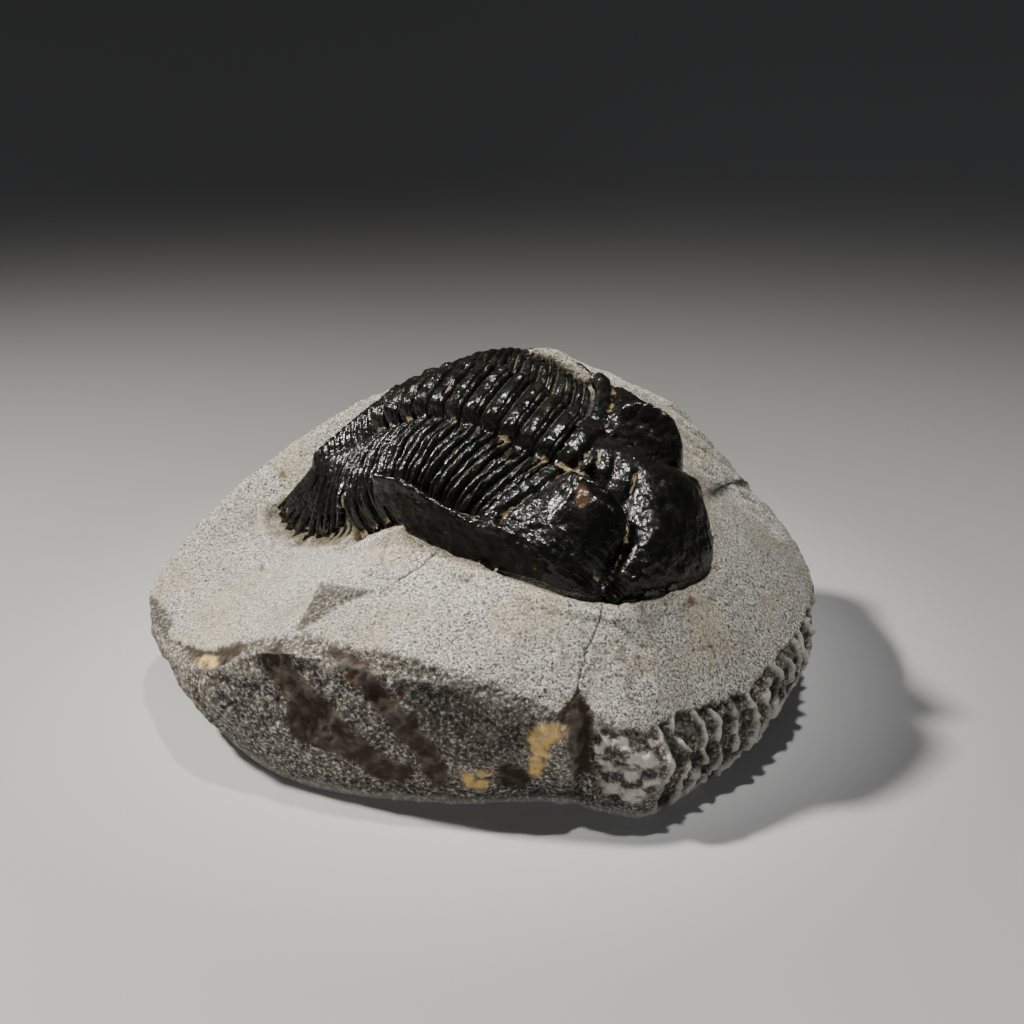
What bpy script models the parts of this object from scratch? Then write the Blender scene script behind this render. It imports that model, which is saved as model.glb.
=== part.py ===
"""A strongly arched trilobite fossil on its loose limestone block.

Sizes below are in millimetres and become metres when a mesh is made. The block rests on z = 0.
The animal is laid out in body coordinates: s runs along the back from tail to head, t across
(positive on the right side of the animal) and h off the back. place() bends them into the world.
"""
import bpy
import bmesh
import numpy as np
from mathutils import Vector, noise

MM = 0.001

# How the animal lies on the block
HEADING_DEG = 26.5
ROLL_BODY_DEG = 11.4
ROLL_HEAD_DEG = 3.8
CREST = np.array([-1.2, 1.0, 51.2])
CREST_AT = 34.5
SLOPE_AT = (-14, 0, 16, 25, 34, 43, 52, 62, 72, 84)
SLOPE_DEG = (-46, -43, -40, -28.5, -1, 20, 23.5, 27, 33, 43)

# The body along s
AXIS_END = -1.3
THORAX_START = 16.0
THORAX_END = 52.0
SEGMENTS = 11
SEGMENT_GAP = 0.40
HALF_WIDTH_AT = (12, 30, 52)
HALF_WIDTH = (17.5, 18.8, 18.5)
AXIS_AT = (0, 8, 16, 25, 34, 43, 52)
AXIS_HALF = (2.0, 3.0, 4.4, 5.8, 6.6, 6.4, 5.6)
AXIS_RISE = 3.2
FLANK_DROP = 9.0
SWEEP = 3.8

# How far the inner face of the shell lies below the tops of its ridges, how much narrower it is, and the
# clearance of the sediment that fills it
SHELL_DEPTH = 1.6
SHELL_INSET = 0.05
SEDIMENT = 0.38

# Head: stations (s, t, h) along the free margin from the right cheek corner to the front
HEAD_MARGIN = (
    (49.0, 21.4, -12.4), (54.0, 22.0, -11.9), (58.6, 22.0, -10.6), (65.3, 21.4, -8.7),
    (69.5, 20.0, -7.4), (73.0, 17.8, -5.9), (75.9, 14.0, -4.9), (78.4, 9.0, -4.3),
    (80.2, 4.6, -4.1), (80.9, 0.0, -4.1),
)
# On the left the front of the margin is still covered by rock: the shell shows only this far out
LEFT_EDGE_AT = (62, 65, 68, 70, 72, 74, 76, 78, 80, 80.9)
LEFT_EDGE = (22, 18.8, 15.2, 13.0, 11.0, 8.9, 6.7, 4.5, 1.8, 0)
HEAD_CENTRE = 62.0
# Height of the vault between the lobes, then half width and top of the glabella
CROWN_AT = (48, 52, 60, 63, 66, 69, 72, 76, 81)
CROWN = (-2.2, -2.0, -1.2, -1.8, -3.6, -5.4, -5.6, -4.8, -4.1)
GLABELLA_AT = (52, 54, 56, 60, 63, 66, 68.5, 71, 73.5, 76, 78, 79.6, 80.9)
GLABELLA_HALF = (5.7, 5.9, 5.4, 5.5, 6.3, 7.7, 10.2, 12.0, 12.6, 11.2, 8.8, 5.6, 1.5)
# On the right the front lobe reaches the margin: the cheek pinches out before it
LOBE_RIGHT = (5.7, 5.9, 5.4, 5.5, 6.3, 8.2, 12.4, 16.6, 17.1, 13.6, 9.4, 6.1, 1.5)
GLABELLA_TOP = (0.8, 1.0, 1.0, 1.6, 2.1, 2.4, 2.3, 1.7, 0.7, -0.6, -1.8, -2.9, -4.1)
# The cone that carries each eye: middle of its crest and height there
EYE_AT = (60.8, 11.8)
EYE_TOP = 2.9

# Cheek spines, deep blades beside the body: stations (s, middle t, thickness, upper edge h, lower edge h)
BLADE = (
    (24.9, 20.4, 0.7, -5.6, -8.4), (26.6, 20.6, 1.1, -2.9, -11.6), (30.0, 21.0, 1.4, -3.6, -13.2),
    (35.0, 21.4, 1.6, -4.7, -13.9), (40.3, 21.7, 1.7, -5.6, -14.0), (45.9, 21.7, 1.8, -5.7, -13.6),
    (50.1, 21.0, 3.0, -4.9, -12.9), (54.5, 20.7, 2.4, -5.4, -11.8), (58.0, 20.2, 1.6, -6.4, -10.4),
)
# The left spine is pressed deeper into the rock: its upper edge
LEFT_BLADE_TOP = (-8.6, -8.4, -8.8, -9.0, -8.9, -8.3, -7.3, -6.5, -7.0)

# Sediment left standing between the rib ends and the spines: stations (s, h)
FILL_RIGHT = ((38.0, -12.5), (41.0, -9.0), (43.5, -7.2), (47.8, -6.2))
FILL_LEFT = ((29.0, -11.0), (33.0, -7.8), (37.5, -6.4), (44.0, -6.8), (47.8, -7.2))

# Tail shield: tips of the fringe as stations (s, t, h) from the front corner to the rear
FRINGE = (
    (11.7, 17.3, -12.9), (8.0, 15.7, -12.1), (4.4, 14.0, -11.3), (0.2, 12.2, -10.7), (-4.2, 10.0, -10.0),
    (-10.8, 6.2, -7.6), (-13.3, 3.1, -5.4), (-14.6, 0.0, -4.1),
)
RIBS = 11
SPINE_START = 0.72

# Block: stations (angle in degrees, radius, height) of the rim between the worked top and the broken sides
RIM = (
    (-176.6, 51.1, 15.4), (-162.2, 49.0, 15.4), (-149.9, 47.9, 18.2), (-131.9, 43.7, 24),
    (-119.1, 41.2, 24.6), (-99.1, 40.5, 23.3), (-86.2, 41.1, 20.9), (-74.2, 43.7, 16.8),
    (-66.9, 45.9, 15), (-59.4, 48.8, 12.6), (-51.2, 48.1, 13.4), (-41.5, 48.3, 13.6),
    (-27.7, 49.5, 14.8), (-15.0, 50.1, 15.5), (-5.7, 50.4, 16.4), (4.5, 51.2, 16.8),
    (21.0, 50.2, 19.8), (28.5, 48.1, 23.1), (37.7, 45.8, 29.1), (44.4, 44.3, 32.6),
    (49.1, 43.7, 33.6), (63.4, 40.2, 34.6), (77.6, 37.4, 35.8), (96.4, 36.7, 36.3),
    (109.1, 38.1, 34.7), (120.1, 39.9, 32.5), (130.9, 42.3, 28.6), (144.8, 45.1, 24.1),
    (156.1, 46.9, 20.9), (170.9, 50.4, 16.5),
)
# A crack runs into a notch in the rim here
NOTCH_AT = -69.2
NOTCH_DEPTH = 2.6
# Toothed chisel cuts on the right side, from the front corner round to the right end
CHISEL_FROM, CHISEL_TO = -57.0, 4.0
CHISEL_STEP = 2.1

# Outline of the face it rests on, stations (angle, radius)
FOOT = (
    (-172, 41.0), (-160, 42.0), (-148, 41.5), (-133.5, 40.4), (-109.8, 36.9), (-90.0, 35.7),
    (-77.0, 35.9), (-64.7, 42.0), (-60.5, 45.6), (-54.9, 45.4), (-41.3, 44.0), (-26.6, 44.0),
    (-10.5, 43.0), (10.0, 42.0), (30.0, 38.0), (52.0, 34.0), (90.0, 30.0), (125.0, 33.0),
    (148.0, 38.0), (169.0, 41.0),
)


def steps(low, high, count):
    return np.linspace(low, high, count)


def dome(x, power=2.2):
    """1 in the middle, 0 at x = 1, round over the top and steep at the edge."""
    inside = np.clip(1.0 - np.abs(x) ** power, 0.0, 1.0)
    return inside ** (1.0 / power)


def dent(distance, width):
    return np.exp(-((distance / width) ** 2))


def smooth(low, high, x):
    y = np.clip((x - low) / (high - low), 0.0, 1.0)
    return y * y * (3.0 - 2.0 * y)


# The curve of the back, integrated from its slope
_S = steps(-20.0, 90.0, 1101)
_slope = np.radians(np.interp(_S, SLOPE_AT, SLOPE_DEG))
_window = np.hanning(101)
_slope = np.convolve(np.pad(_slope, 50, "edge"), _window / _window.sum(), "valid")
_ahead = np.concatenate([[0.0], np.cumsum(0.5 * (np.cos(_slope[1:]) + np.cos(_slope[:-1])) * np.diff(_S))])
_rise = -np.concatenate([[0.0], np.cumsum(0.5 * (np.sin(_slope[1:]) + np.sin(_slope[:-1])) * np.diff(_S))])
_ahead -= np.interp(CREST_AT, _S, _ahead)
_rise -= np.interp(CREST_AT, _S, _rise)


def place(s, t, h):
    """Body coordinates to the world, in millimetres."""
    s, t, h = np.broadcast_arrays(np.asarray(s, float), np.asarray(t, float), np.asarray(h, float))
    turn = np.radians(HEADING_DEG)
    roll = np.radians(ROLL_BODY_DEG + (ROLL_HEAD_DEG - ROLL_BODY_DEG) * smooth(40.0, 64.0, s))[..., None]
    forward = np.array([np.cos(turn), -np.sin(turn), 0.0])
    right = np.array([-np.sin(turn), -np.cos(turn), 0.0])
    up = np.array([0.0, 0.0, 1.0])
    across = right * np.cos(roll) - up * np.sin(roll)
    away = up * np.cos(roll) + right * np.sin(roll)
    slope = np.interp(s, _S, _slope)
    run = np.interp(s, _S, _ahead) + np.sin(slope) * h
    lift = np.interp(s, _S, _rise)
    off = (np.cos(slope) * h)[..., None]
    return CREST + run[..., None] * forward + lift[..., None] * up + off * away + t[..., None] * across


def axis_half(s):
    """Half width of the axial lobe, closing to a blunt end at the tail."""
    closing = np.sqrt(np.clip(1.0 - ((2.0 - s) / (2.0 - AXIS_END)) ** 2, 0.0, 1.0))
    return np.interp(s, AXIS_AT, AXIS_HALF) * np.where(s < 2.0, closing, 1.0)


def flank_x(s, t):
    """0 at the axial furrow, 1 at the end of the rib."""
    a = np.interp(s, AXIS_AT, AXIS_HALF)
    return np.clip((np.abs(t) - a) / (np.interp(s, HALF_WIDTH_AT, HALF_WIDTH) - a), 0.0, 1.0)


def sweep(x):
    return SWEEP * x ** 1.3


def thorax_height(s, t):
    """The thorax without its ring and rib relief."""
    a = np.interp(s, AXIS_AT, AXIS_HALF)
    x = flank_x(s, t)
    lobe = AXIS_RISE * dome(np.clip(np.abs(t) / a, 0.0, 1.0)) - AXIS_RISE
    flank = 0.35 * np.sin(np.pi * np.clip(x / 0.6, 0.0, 1.0)) - FLANK_DROP * (1.0 - dome(x, 2.6))
    return np.where(np.abs(t) < a, lobe, flank - AXIS_RISE)


def thorax_relief(u, s, t):
    """Ring over the axis and double-ridged rib over the flank, u from 0 to 1 along one segment."""
    a = np.interp(s, AXIS_AT, AXIS_HALF)
    ring = -0.95 * np.abs(2.0 * u - 1.0) ** 2.2
    knob = 0.55 * dent(np.abs(t) - 0.8 * a, 0.24 * a)
    rib = -0.7 * np.abs(2.0 * u - 1.0) ** 5 - 0.55 * dent(u - 0.5, 0.13)
    over = smooth(0.92, 1.06, np.abs(t) / a)
    return (ring + knob) * (1.0 - over) + rib * over * (1.0 - 0.4 * smooth(0.8, 1.0, flank_x(s, t)))


def margin_of(s, t=0.0):
    """Half width of the head on the side of t, and the height of its margin."""
    table = np.array(HEAD_MARGIN)
    order = np.clip(s, table[0, 0], table[-1, 0])
    half = np.interp(order, table[:, 0], table[:, 1])
    half = np.where(t < 0.0, np.minimum(half, np.interp(s, LEFT_EDGE_AT, LEFT_EDGE)), half)
    return np.maximum(half, 0.05), np.interp(order, table[:, 0], table[:, 2])


def eye_mound(s, t):
    """The cone that carries the eye: its crest runs along s, steep inside, falling to the border outside."""
    side = np.abs(t)
    along = s - EYE_AT[0]
    crest = EYE_TOP - 0.045 * along ** 2 - 0.0012 * along ** 4
    across = side - (EYE_AT[1] - 0.04 * along ** 2)
    outside = 0.86 * (np.sqrt(across ** 2 + 2.2) - np.sqrt(2.2))
    inside = 1.7 * (np.sqrt(across ** 2 + 0.8) - np.sqrt(0.8))
    return crest - np.where(across > 0.0, outside, inside)


def softer_max(a, b, radius):
    return 0.5 * (a + b + np.sqrt((a - b) ** 2 + radius ** 2))


def glabella_half(s, t):
    wide = margin_of(s, t)[0]
    half = np.where(t < 0.0, np.interp(s, GLABELLA_AT, GLABELLA_HALF), np.interp(s, GLABELLA_AT, LOBE_RIGHT))
    return np.minimum(half, wide - 0.3 * smooth(0.0, 3.0, wide))


def head_base(s, t, eyes=0.0):
    """The head shield as a plain vault, with or without the two cones of the eyes."""
    wide, low = margin_of(s, t)
    side = np.abs(t)
    half = glabella_half(s, t)
    crown = np.maximum(np.interp(s, CROWN_AT, CROWN), low)
    crown = crown - 1.6 * dent(side - 8.2, 1.4) * smooth(56.0, 59.0, s) * (1.0 - smooth(63.0, 66.0, s))
    beside = eyes * smooth(half - 0.8, half + 0.8, side)
    crown = crown + (softer_max(crown, eye_mound(s, t), 0.7) - crown) * beside
    power = np.interp(s, (58.0, 68.0), (3.8, 2.7))
    falloff = np.clip(1.0 - np.clip(side / wide, 0.0, 1.0) ** power, 0.0, 1.0) ** (1.0 / power)
    return low + (crown - low) * falloff


def head_lobe(s, t):
    """Height of the glabella above the vault: its left side is a little flatter than its right."""
    vault = np.interp(s, CROWN_AT, CROWN)
    rise = np.maximum(np.interp(s, GLABELLA_AT, GLABELLA_TOP) - vault, 0.0)
    return rise * dome(np.clip(np.abs(t) / glabella_half(s, t), 0.0, 1.0), np.where(t < 0.0, 1.9, 2.3))


def head_height(s, t):
    """The head with eyes, glabella, furrows and borders."""
    half = glabella_half(s, t)
    wide, low = margin_of(s, t)
    side = np.abs(t)
    h = head_base(s, t, eyes=1.0) + head_lobe(s, t)
    h = h - 0.9 * dent(side - half, 0.75) * (1.0 - smooth(74.0, 78.0, s)) * smooth(0.3, 2.6, wide - side)
    h = h - 1.1 * dent(s - 55.9, 0.7) * (1.0 - smooth(4.8, 6.0, side))
    lean = 0.45 * (half - side)
    cuts = dent(s - 58.6 + lean, 0.55) + dent(s - 61.3 + lean, 0.55)
    cuts = cuts + 1.25 * dent(s - 65.2 + 0.8 * lean, 0.65)
    h = h - 1.0 * cuts * smooth(1.2, 3.2, side) * (1.0 - smooth(0.0, 0.8, side - half))
    h = h - 0.9 * dent(s - 52.0 + sweep(flank_x(s, t)) - 3.0, 0.7) * smooth(5.6, 7.4, side)
    h = h - 0.5 * dent(wide - side - 2.6, 0.8) * (1.0 - smooth(74.0, 78.0, s))
    return h


def head_outline(count_back, count_side):
    """Closed outline of the head in (s, t), starting at the middle of its rear edge, right side first."""
    t = steps(0.0, 20.6, count_back)
    x = np.clip((t - 5.6) / (HALF_WIDTH[-1] - 5.6), 0.0, 1.05)
    rear = np.stack([THORAX_END + 0.25 - sweep(x), t], -1)
    table = np.array(HEAD_MARGIN)[:, :2]
    length = np.concatenate([[0.0], np.cumsum(np.linalg.norm(np.diff(table, axis=0), axis=1))])
    where = steps(0.0, length[-1], count_side)
    margin = np.stack([np.interp(where, length, table[:, 0]), np.interp(where, length, table[:, 1])], -1)
    right = np.concatenate([rear, margin])
    left = right[1:-1][::-1] * (1.0, -1.0)
    left[:, 1] = -np.minimum(-left[:, 1], np.interp(left[:, 0], LEFT_EDGE_AT, LEFT_EDGE))
    return np.concatenate([right, left])


def fringe_tip(r):
    """Tip of the tail fringe for ray r, 0 at the front corner and 1 at the rear."""
    table = np.array(FRINGE)
    at = steps(0.0, 1.0, len(table))
    return np.stack([np.interp(r, at, table[:, k]) for k in range(3)], -1)


def tail_start(r):
    """Where ray r leaves the axial furrow."""
    s = THORAX_START - 0.25 + (AXIS_END - THORAX_START + 0.25) * r
    return s, axis_half(s)


def tail_point(r, x, side, raise_by=0.0):
    """A point of the tail shield flank: x is 0 at the axial furrow and 1 at the tip."""
    tip = fringe_tip(r)
    s0, t0 = tail_start(r)
    bend_s = s0 - 0.25 * (s0 - tip[..., 0])
    bend_t = t0 + 0.62 * (tip[..., 1] - t0)
    s = (1 - x) ** 2 * s0 + 2 * x * (1 - x) * bend_s + x * x * tip[..., 0]
    t = (1 - x) ** 2 * t0 + 2 * x * (1 - x) * bend_t + x * x * tip[..., 1]
    base = np.interp(s0, (AXIS_END, 2.0, 16.0), (-2.2, -2.3, -AXIS_RISE))
    h = base + (tip[..., 2] - base) * x ** np.interp(r, (0.0, 0.6, 1.0), (2.2, 1.5, 0.9))
    # The front edge runs beside the last thorax segment
    own = smooth(0.0, 0.25, r)
    line_s = s0 - sweep(x)
    line_t = t0 + (np.interp(s0, HALF_WIDTH_AT, HALF_WIDTH) - t0) * x
    line_h = thorax_height(s0, line_t)
    s, t, h = line_s + (s - line_s) * own, line_t + (t - line_t) * own, line_h + (h - line_h) * own
    return place(s, side * t, h + raise_by)


def tail_axis_point(r, q, raise_by=0.0):
    """A point of the tail axis, q from -1 to 1 across it."""
    s, a = tail_start(r)
    rise = np.interp(s, (AXIS_END, 0.0, 2.0, 16.0), (0.4, 2.0, 2.4, AXIS_RISE))
    base = np.interp(s, (AXIS_END, 2.0, 16.0), (-2.2, -2.3, -AXIS_RISE))
    return place(s, q * a, base + rise * dome(q, 2.2) + raise_by)


def material(name, colour, roughness):
    made = bpy.data.materials.new(name)
    made.use_nodes = True
    shader = made.node_tree.nodes["Principled BSDF"]
    shader.inputs["Base Color"].default_value = (*colour, 1.0)
    shader.inputs["Roughness"].default_value = roughness
    return made


def mesh_object(name, points, faces, finish=None):
    mesh = bpy.data.meshes.new(name)
    corners = [tuple(point) for point in np.asarray(points) * MM]
    mesh.from_pydata(corners, [], [tuple(int(i) for i in face) for face in faces])
    built = bmesh.new()
    built.from_mesh(mesh)
    bmesh.ops.remove_doubles(built, verts=built.verts, dist=2e-6)
    bmesh.ops.dissolve_degenerate(built, edges=built.edges, dist=1e-7)
    bmesh.ops.triangulate(built, faces=built.faces)
    bmesh.ops.recalc_face_normals(built, faces=built.faces)
    if built.calc_volume(signed=True) < 0.0:
        bmesh.ops.reverse_faces(built, faces=built.faces)
    built.to_mesh(mesh)
    built.free()
    made = bpy.data.objects.new(name, mesh)
    bpy.context.scene.collection.objects.link(made)
    if finish:
        mesh.materials.append(finish)
    return made


def net(rows, cols, start=0, wrap=False):
    """Point numbers of a grid and the quads between them."""
    number = start + np.arange(rows * cols).reshape(rows, cols)
    ahead = np.roll(number, -1, axis=1)
    across = cols if wrap else cols - 1
    quads = [
        (number[i, j], ahead[i, j], ahead[i + 1, j], number[i + 1, j])
        for i in range(rows - 1)
        for j in range(across)
    ]
    return number, quads


def between(name, top, bottom, finish=None, zipped=False):
    """A closed body between two grids, walled along their borders.

    The lower grid has the rows of the upper one, or only the first and last of them. With zipped, the last
    row is folded on itself, so it needs no wall.
    """
    rows, cols = top.shape[:2]
    upper, faces = net(rows, cols)
    lower, under = net(len(bottom), cols, start=rows * cols)
    faces += [quad[::-1] for quad in under]
    for row in (0,) if zipped else (0, -1):
        for j in range(cols - 1):
            faces.append((upper[row, j + 1], upper[row, j], lower[row, j], lower[row, j + 1]))
    for col in (0, -1):
        if len(bottom) == rows:
            for i in range(rows - 1):
                faces.append((upper[i, col], upper[i + 1, col], lower[i + 1, col], lower[i, col]))
        else:
            faces.append((*upper[:, col], *lower[::-1, col]))
    points = np.concatenate([top.reshape(-1, 3), bottom.reshape(-1, 3)])
    return mesh_object(name, points, faces, finish)


def between_rings(name, top, bottom, finish=None):
    """A closed body between two sets of rings about a shared middle: ring 0 is the middle."""
    around = top.shape[1]
    upper, faces = net(len(top), around, wrap=True)
    lower, under = net(len(bottom), around, start=upper.size, wrap=True)
    faces += [quad[::-1] for quad in under]
    for j in range(around):
        k = (j + 1) % around
        faces.append((upper[-1, k], upper[-1, j], lower[-1, j], lower[-1, k]))
    points = np.concatenate([top.reshape(-1, 3), bottom.reshape(-1, 3)])
    return mesh_object(name, points, faces, finish)


def at_level(points, level):
    flat = points.copy()
    flat[..., 2] = level
    return flat


def combine(target, helper, operation, solver="EXACT"):
    """Fuse a helper body into the target, or cut it away, and remove the helper."""
    step = target.modifiers.new(operation.lower(), "BOOLEAN")
    step.object = helper
    step.operation = operation
    step.solver = solver
    bpy.context.view_layer.objects.active = target
    bpy.ops.object.modifier_apply(modifier=step.name)
    bpy.data.objects.remove(helper)


def clean_fusion(target):
    """Part skins that only touch, and remove the small closed bubbles that a fusion leaves inside a body."""
    built = bmesh.new()
    built.from_mesh(target.data)
    bmesh.ops.triangulate(built, faces=built.faces)
    waiting = set(built.faces)
    skins = []
    while waiting:
        reached = [waiting.pop()]
        for face in reached:
            for edge in face.edges:
                for other in edge.link_faces if len(edge.link_faces) == 2 else ():
                    if other in waiting:
                        waiting.remove(other)
                        reached.append(other)
        skins.append(reached)
    skins.sort(key=lambda faces: sum(face.calc_area() for face in faces))
    for faces in skins[:-1]:
        bmesh.ops.delete(built, geom=faces, context="FACES")
    built.normal_update()
    touching = bmesh.ops.find_doubles(built, verts=built.verts, dist=2e-7)["targetmap"]
    for point in set(touching.keys()) | set(touching.values()):
        point.co -= point.normal * 2e-5
    built.to_mesh(target.data)
    built.free()


def segment_columns():
    flank = np.array([0.07, 0.32, 0.62, 0.87, 1.0])
    axis = np.array([-0.95, -0.6, 0.0, 0.6, 0.95])
    return flank, axis


def segment_grid(start, end, rows, extra=0.0):
    """(s, t, u) grids for a stretch of the thorax, its ends swept back over the flanks."""
    flank, axis = segment_columns()
    u = np.array(rows)[:, None]
    line = start + (end - start) * u
    a = np.interp(line, AXIS_AT, AXIS_HALF)
    wide = np.interp(line, HALF_WIDTH_AT, HALF_WIDTH) + extra
    left = -(a + (wide - a) * flank[None, ::-1])
    right = a + (wide - a) * flank[None, :]
    t = np.concatenate([left, a * axis[None, :], right], axis=1)
    s = line - sweep(flank_x(line, t)) * np.ones_like(t)
    return s, t, u * np.ones_like(t)


def thorax_under(s, t, gap=0.0):
    """The inner face of the thorax, or a face the given gap inside it."""
    narrow = t * (1.0 - SHELL_INSET - gap / 20.0)
    return place(s, narrow, thorax_height(s, narrow) - SHELL_DEPTH - gap)


def make_segment(index, finish):
    length = (THORAX_END - THORAX_START) / SEGMENTS
    rear = THORAX_END - length * index
    margin = 0.5 * SEGMENT_GAP / length
    s, t, u = segment_grid(rear, rear + length, (margin, 0.27, 0.5, 0.73, 1.0 - margin))
    top = place(s, t, thorax_height(s, t) + thorax_relief(u, s, t))
    under = thorax_under(s[[0, -1]], t[[0, -1]])
    return between(f"thorax_segment_{index:02d}", top, under, finish)


def head_grid(rings, around):
    outline = head_outline(*around)
    fractions = np.array(rings)[:, None, None]
    grid = np.array([HEAD_CENTRE, 0.0]) + (outline[None] - np.array([HEAD_CENTRE, 0.0])) * fractions
    return grid[..., 0], grid[..., 1]


def head_under(s, t, gap=0.0):
    """The inner face of the head, or a face the given gap inside it."""
    scale = 1.0 - SHELL_INSET - gap / 20.0
    s = HEAD_CENTRE + (s - HEAD_CENTRE) * scale
    t = t * scale
    return place(s, t, head_base(s, t) + 0.8 * head_lobe(s, t) - SHELL_DEPTH - gap)


def blade_body(side, grow=0.0, lift=0.0):
    """Cheek spine: a deep, flat-sided blade that runs back beside the body.

    The small turn of the section and the shift of the left one keep their edges off the edges of the head.
    """
    table = np.array(BLADE)
    s = table[:, 0] + 0.07 * (1 - side)
    high = (table[:, 3] if side > 0 else np.array(LEFT_BLADE_TOP)) + grow + lift
    low = table[:, 4] - grow
    s[0] -= grow
    middle = 0.5 * (high + low)
    tall = 0.5 * (high - low)
    thick = 0.5 * table[:, 2] + grow
    turn = steps(0.0, 2.0 * np.pi, 11)[:-1] + 0.16
    across = np.sign(np.cos(turn)) * np.abs(np.cos(turn)) ** 0.6
    upward = np.sign(np.sin(turn)) * np.abs(np.sin(turn)) ** 0.8
    t = table[:, 1, None] + thick[:, None] * across[None]
    ring = place(s[:, None], side * t, middle[:, None] + tall[:, None] * upward[None])
    count, around = ring.shape[:2]
    number = np.arange(count * around).reshape(count, around)
    faces = [tuple(number[0]), tuple(number[-1])]
    for i in range(count - 1):
        for j in range(around):
            k = (j + 1) % around
            faces.append((number[i, j], number[i, k], number[i + 1, k], number[i + 1, j]))
    return mesh_object("blade", ring.reshape(-1, 3), faces)


def fill_body(side):
    """Ridge of sediment between the rib ends and a cheek spine."""
    table = np.array(FILL_RIGHT if side > 0 else FILL_LEFT)
    s = steps(table[0, 0], table[-1, 0], 11)
    high = np.interp(s, table[:, 0], table[:, 1])
    inner = np.interp(s + SWEEP, HALF_WIDTH_AT, HALF_WIDTH) + 0.55
    blade = np.array(BLADE)
    outer = np.interp(s, blade[:, 0], blade[:, 1] - 0.5 * blade[:, 2]) - 0.5
    share = np.array([0.0, 0.3, 0.7, 1.0])
    t = inner[:, None] + (outer - inner)[:, None] * share
    h = high[:, None] - np.array([0.7, 0.0, 0.0, 0.7])
    top = place(s[:, None], side * t, h)
    bottom = place(s[:, None], side * t, -17.0)
    return between("fill", top, bottom)


HEAD_RINGS = (0.0, 0.12, 0.24, 0.35, 0.46, 0.56, 0.66, 0.76, 0.86, 0.94, 1.0)
UNDER_RINGS = (0.0, 0.4, 0.7, 0.9, 1.0)
HEAD_AROUND = (10, 17)
# The bodies bent over the back cross their own sides a little inside the rock: EXACT returns nothing there
ROOM_SOLVER = "MANIFOLD"
ROOM_RINGS = (0.0, 0.4, 0.7, 0.9, 1.0)
ROOM_AROUND = (7, 17)


def make_head(finish):
    s, t = head_grid(HEAD_RINGS, HEAD_AROUND)
    top = place(s, t, head_height(s, t))
    under = head_under(*head_grid(UNDER_RINGS, HEAD_AROUND))
    head = between_rings("cephalon", top, under, finish)
    for side in (1, -1):
        combine(head, blade_body(side), "UNION", ROOM_SOLVER)
    clean_fusion(head)
    return head


TAIL_COLUMNS = (0.08, 0.24, 0.42, 0.58, 0.72, 1.0)
TAIL_AXIS = (-0.92, -0.55, 0.0, 0.55, 0.92)


def tail_grids(depth=0.0, plain=False, reach=1.0, thin_tips=0.0, rows=0):
    """Top grid of the tail shield: rows run from front to rear, columns from left tip to right tip."""
    grid = []
    count = rows or 2 * RIBS + 1
    for j in range(count + 1):
        r = j / count
        ridge = j % 2 == 1
        relief = 0.0 if (ridge or plain) else -0.65
        line = []
        for side in (-1, 1):
            flank = []
            for x in TAIL_COLUMNS:
                limit = x * reach if (ridge or plain) else min(x * reach, SPINE_START + 0.03)
                if x == 1.0 and not ridge and not plain:
                    limit = SPINE_START + 0.05
                fade = np.clip(x / 0.2, 0.0, 1.0) * (1.0 - 0.5 * (x > 0.9))
                down = depth * (1.0 - thin_tips * smooth(0.5, 1.0, x))
                flank.append(tail_point(r, limit, side, relief * fade + down))
            line.append(flank)
        ring = 0.0 if (ridge or plain) else -0.55
        middle = [tail_axis_point(r, q, ring * float(dome(q, 4.0)) + depth) for q in TAIL_AXIS]
        grid.append(line[0][::-1] + middle + line[1])
    return np.array(grid)


def make_tail(finish):
    top = tail_grids()
    under = tail_grids(depth=-1.5, thin_tips=0.4)
    return between("pygidium", top, under, finish, zipped=True)


def outline_of_fossil():
    """World points along the outer edge of the whole animal, where the worked rock meets it."""
    edge = [place(s, t, h) for s, t, h in HEAD_MARGIN[2:]]
    for s, t, h in HEAD_MARGIN[2:]:
        edge.append(place(s, -min(t, float(np.interp(s, LEFT_EDGE_AT, LEFT_EDGE))), h))
    for s, t, thick, high, low in BLADE[2:-1]:
        edge.append(place(s, t + thick, low + 0.2))
    for (s, t, thick, high, low), top in list(zip(BLADE, LEFT_BLADE_TOP))[1:-1]:
        edge.append(place(s, -t - thick, top - 1.6))
    for s, t, h in ((14.0, 17.9, -13.0), (17.3, 18.3, -13.2), (20.5, 19.0, -13.3)):
        edge.append(place(s, t, h))
    for r in steps(0.0, 1.0, 9):
        s, t, h = fringe_tip(r)
        edge += [place(s, t, h - 0.3), place(s, -t, h - 0.3)]
    return np.array(edge)


def periodic(table, column, angle):
    """Smooth closed interpolation of a station table over the angle."""
    rows = np.array(table)
    at = rows[:, 0]
    value = rows[:, column]
    at = np.concatenate([at[-2:] - 360.0, at, at[:3] + 360.0])
    value = np.concatenate([value[-2:], value, value[:3]])
    i = np.clip(np.searchsorted(at, angle, side="right") - 1, 1, len(at) - 3)
    slope0 = (value[i + 1] - value[i - 1]) / (at[i + 1] - at[i - 1])
    slope1 = (value[i + 2] - value[i]) / (at[i + 2] - at[i])
    gap = at[i + 1] - at[i]
    f = (angle - at[i]) / gap
    return (
        value[i] * (1 + 2 * f) * (1 - f) ** 2 + slope0 * gap * f * (1 - f) ** 2
        + value[i + 1] * f * f * (3 - 2 * f) - slope1 * gap * f * f * (1 - f)
    )


def rough(points, scale, seed):
    offset = Vector((seed, seed, seed))
    return np.array([noise.fractal(Vector(point * scale) + offset, 0.9, 2.1, 3) for point in points])


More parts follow.
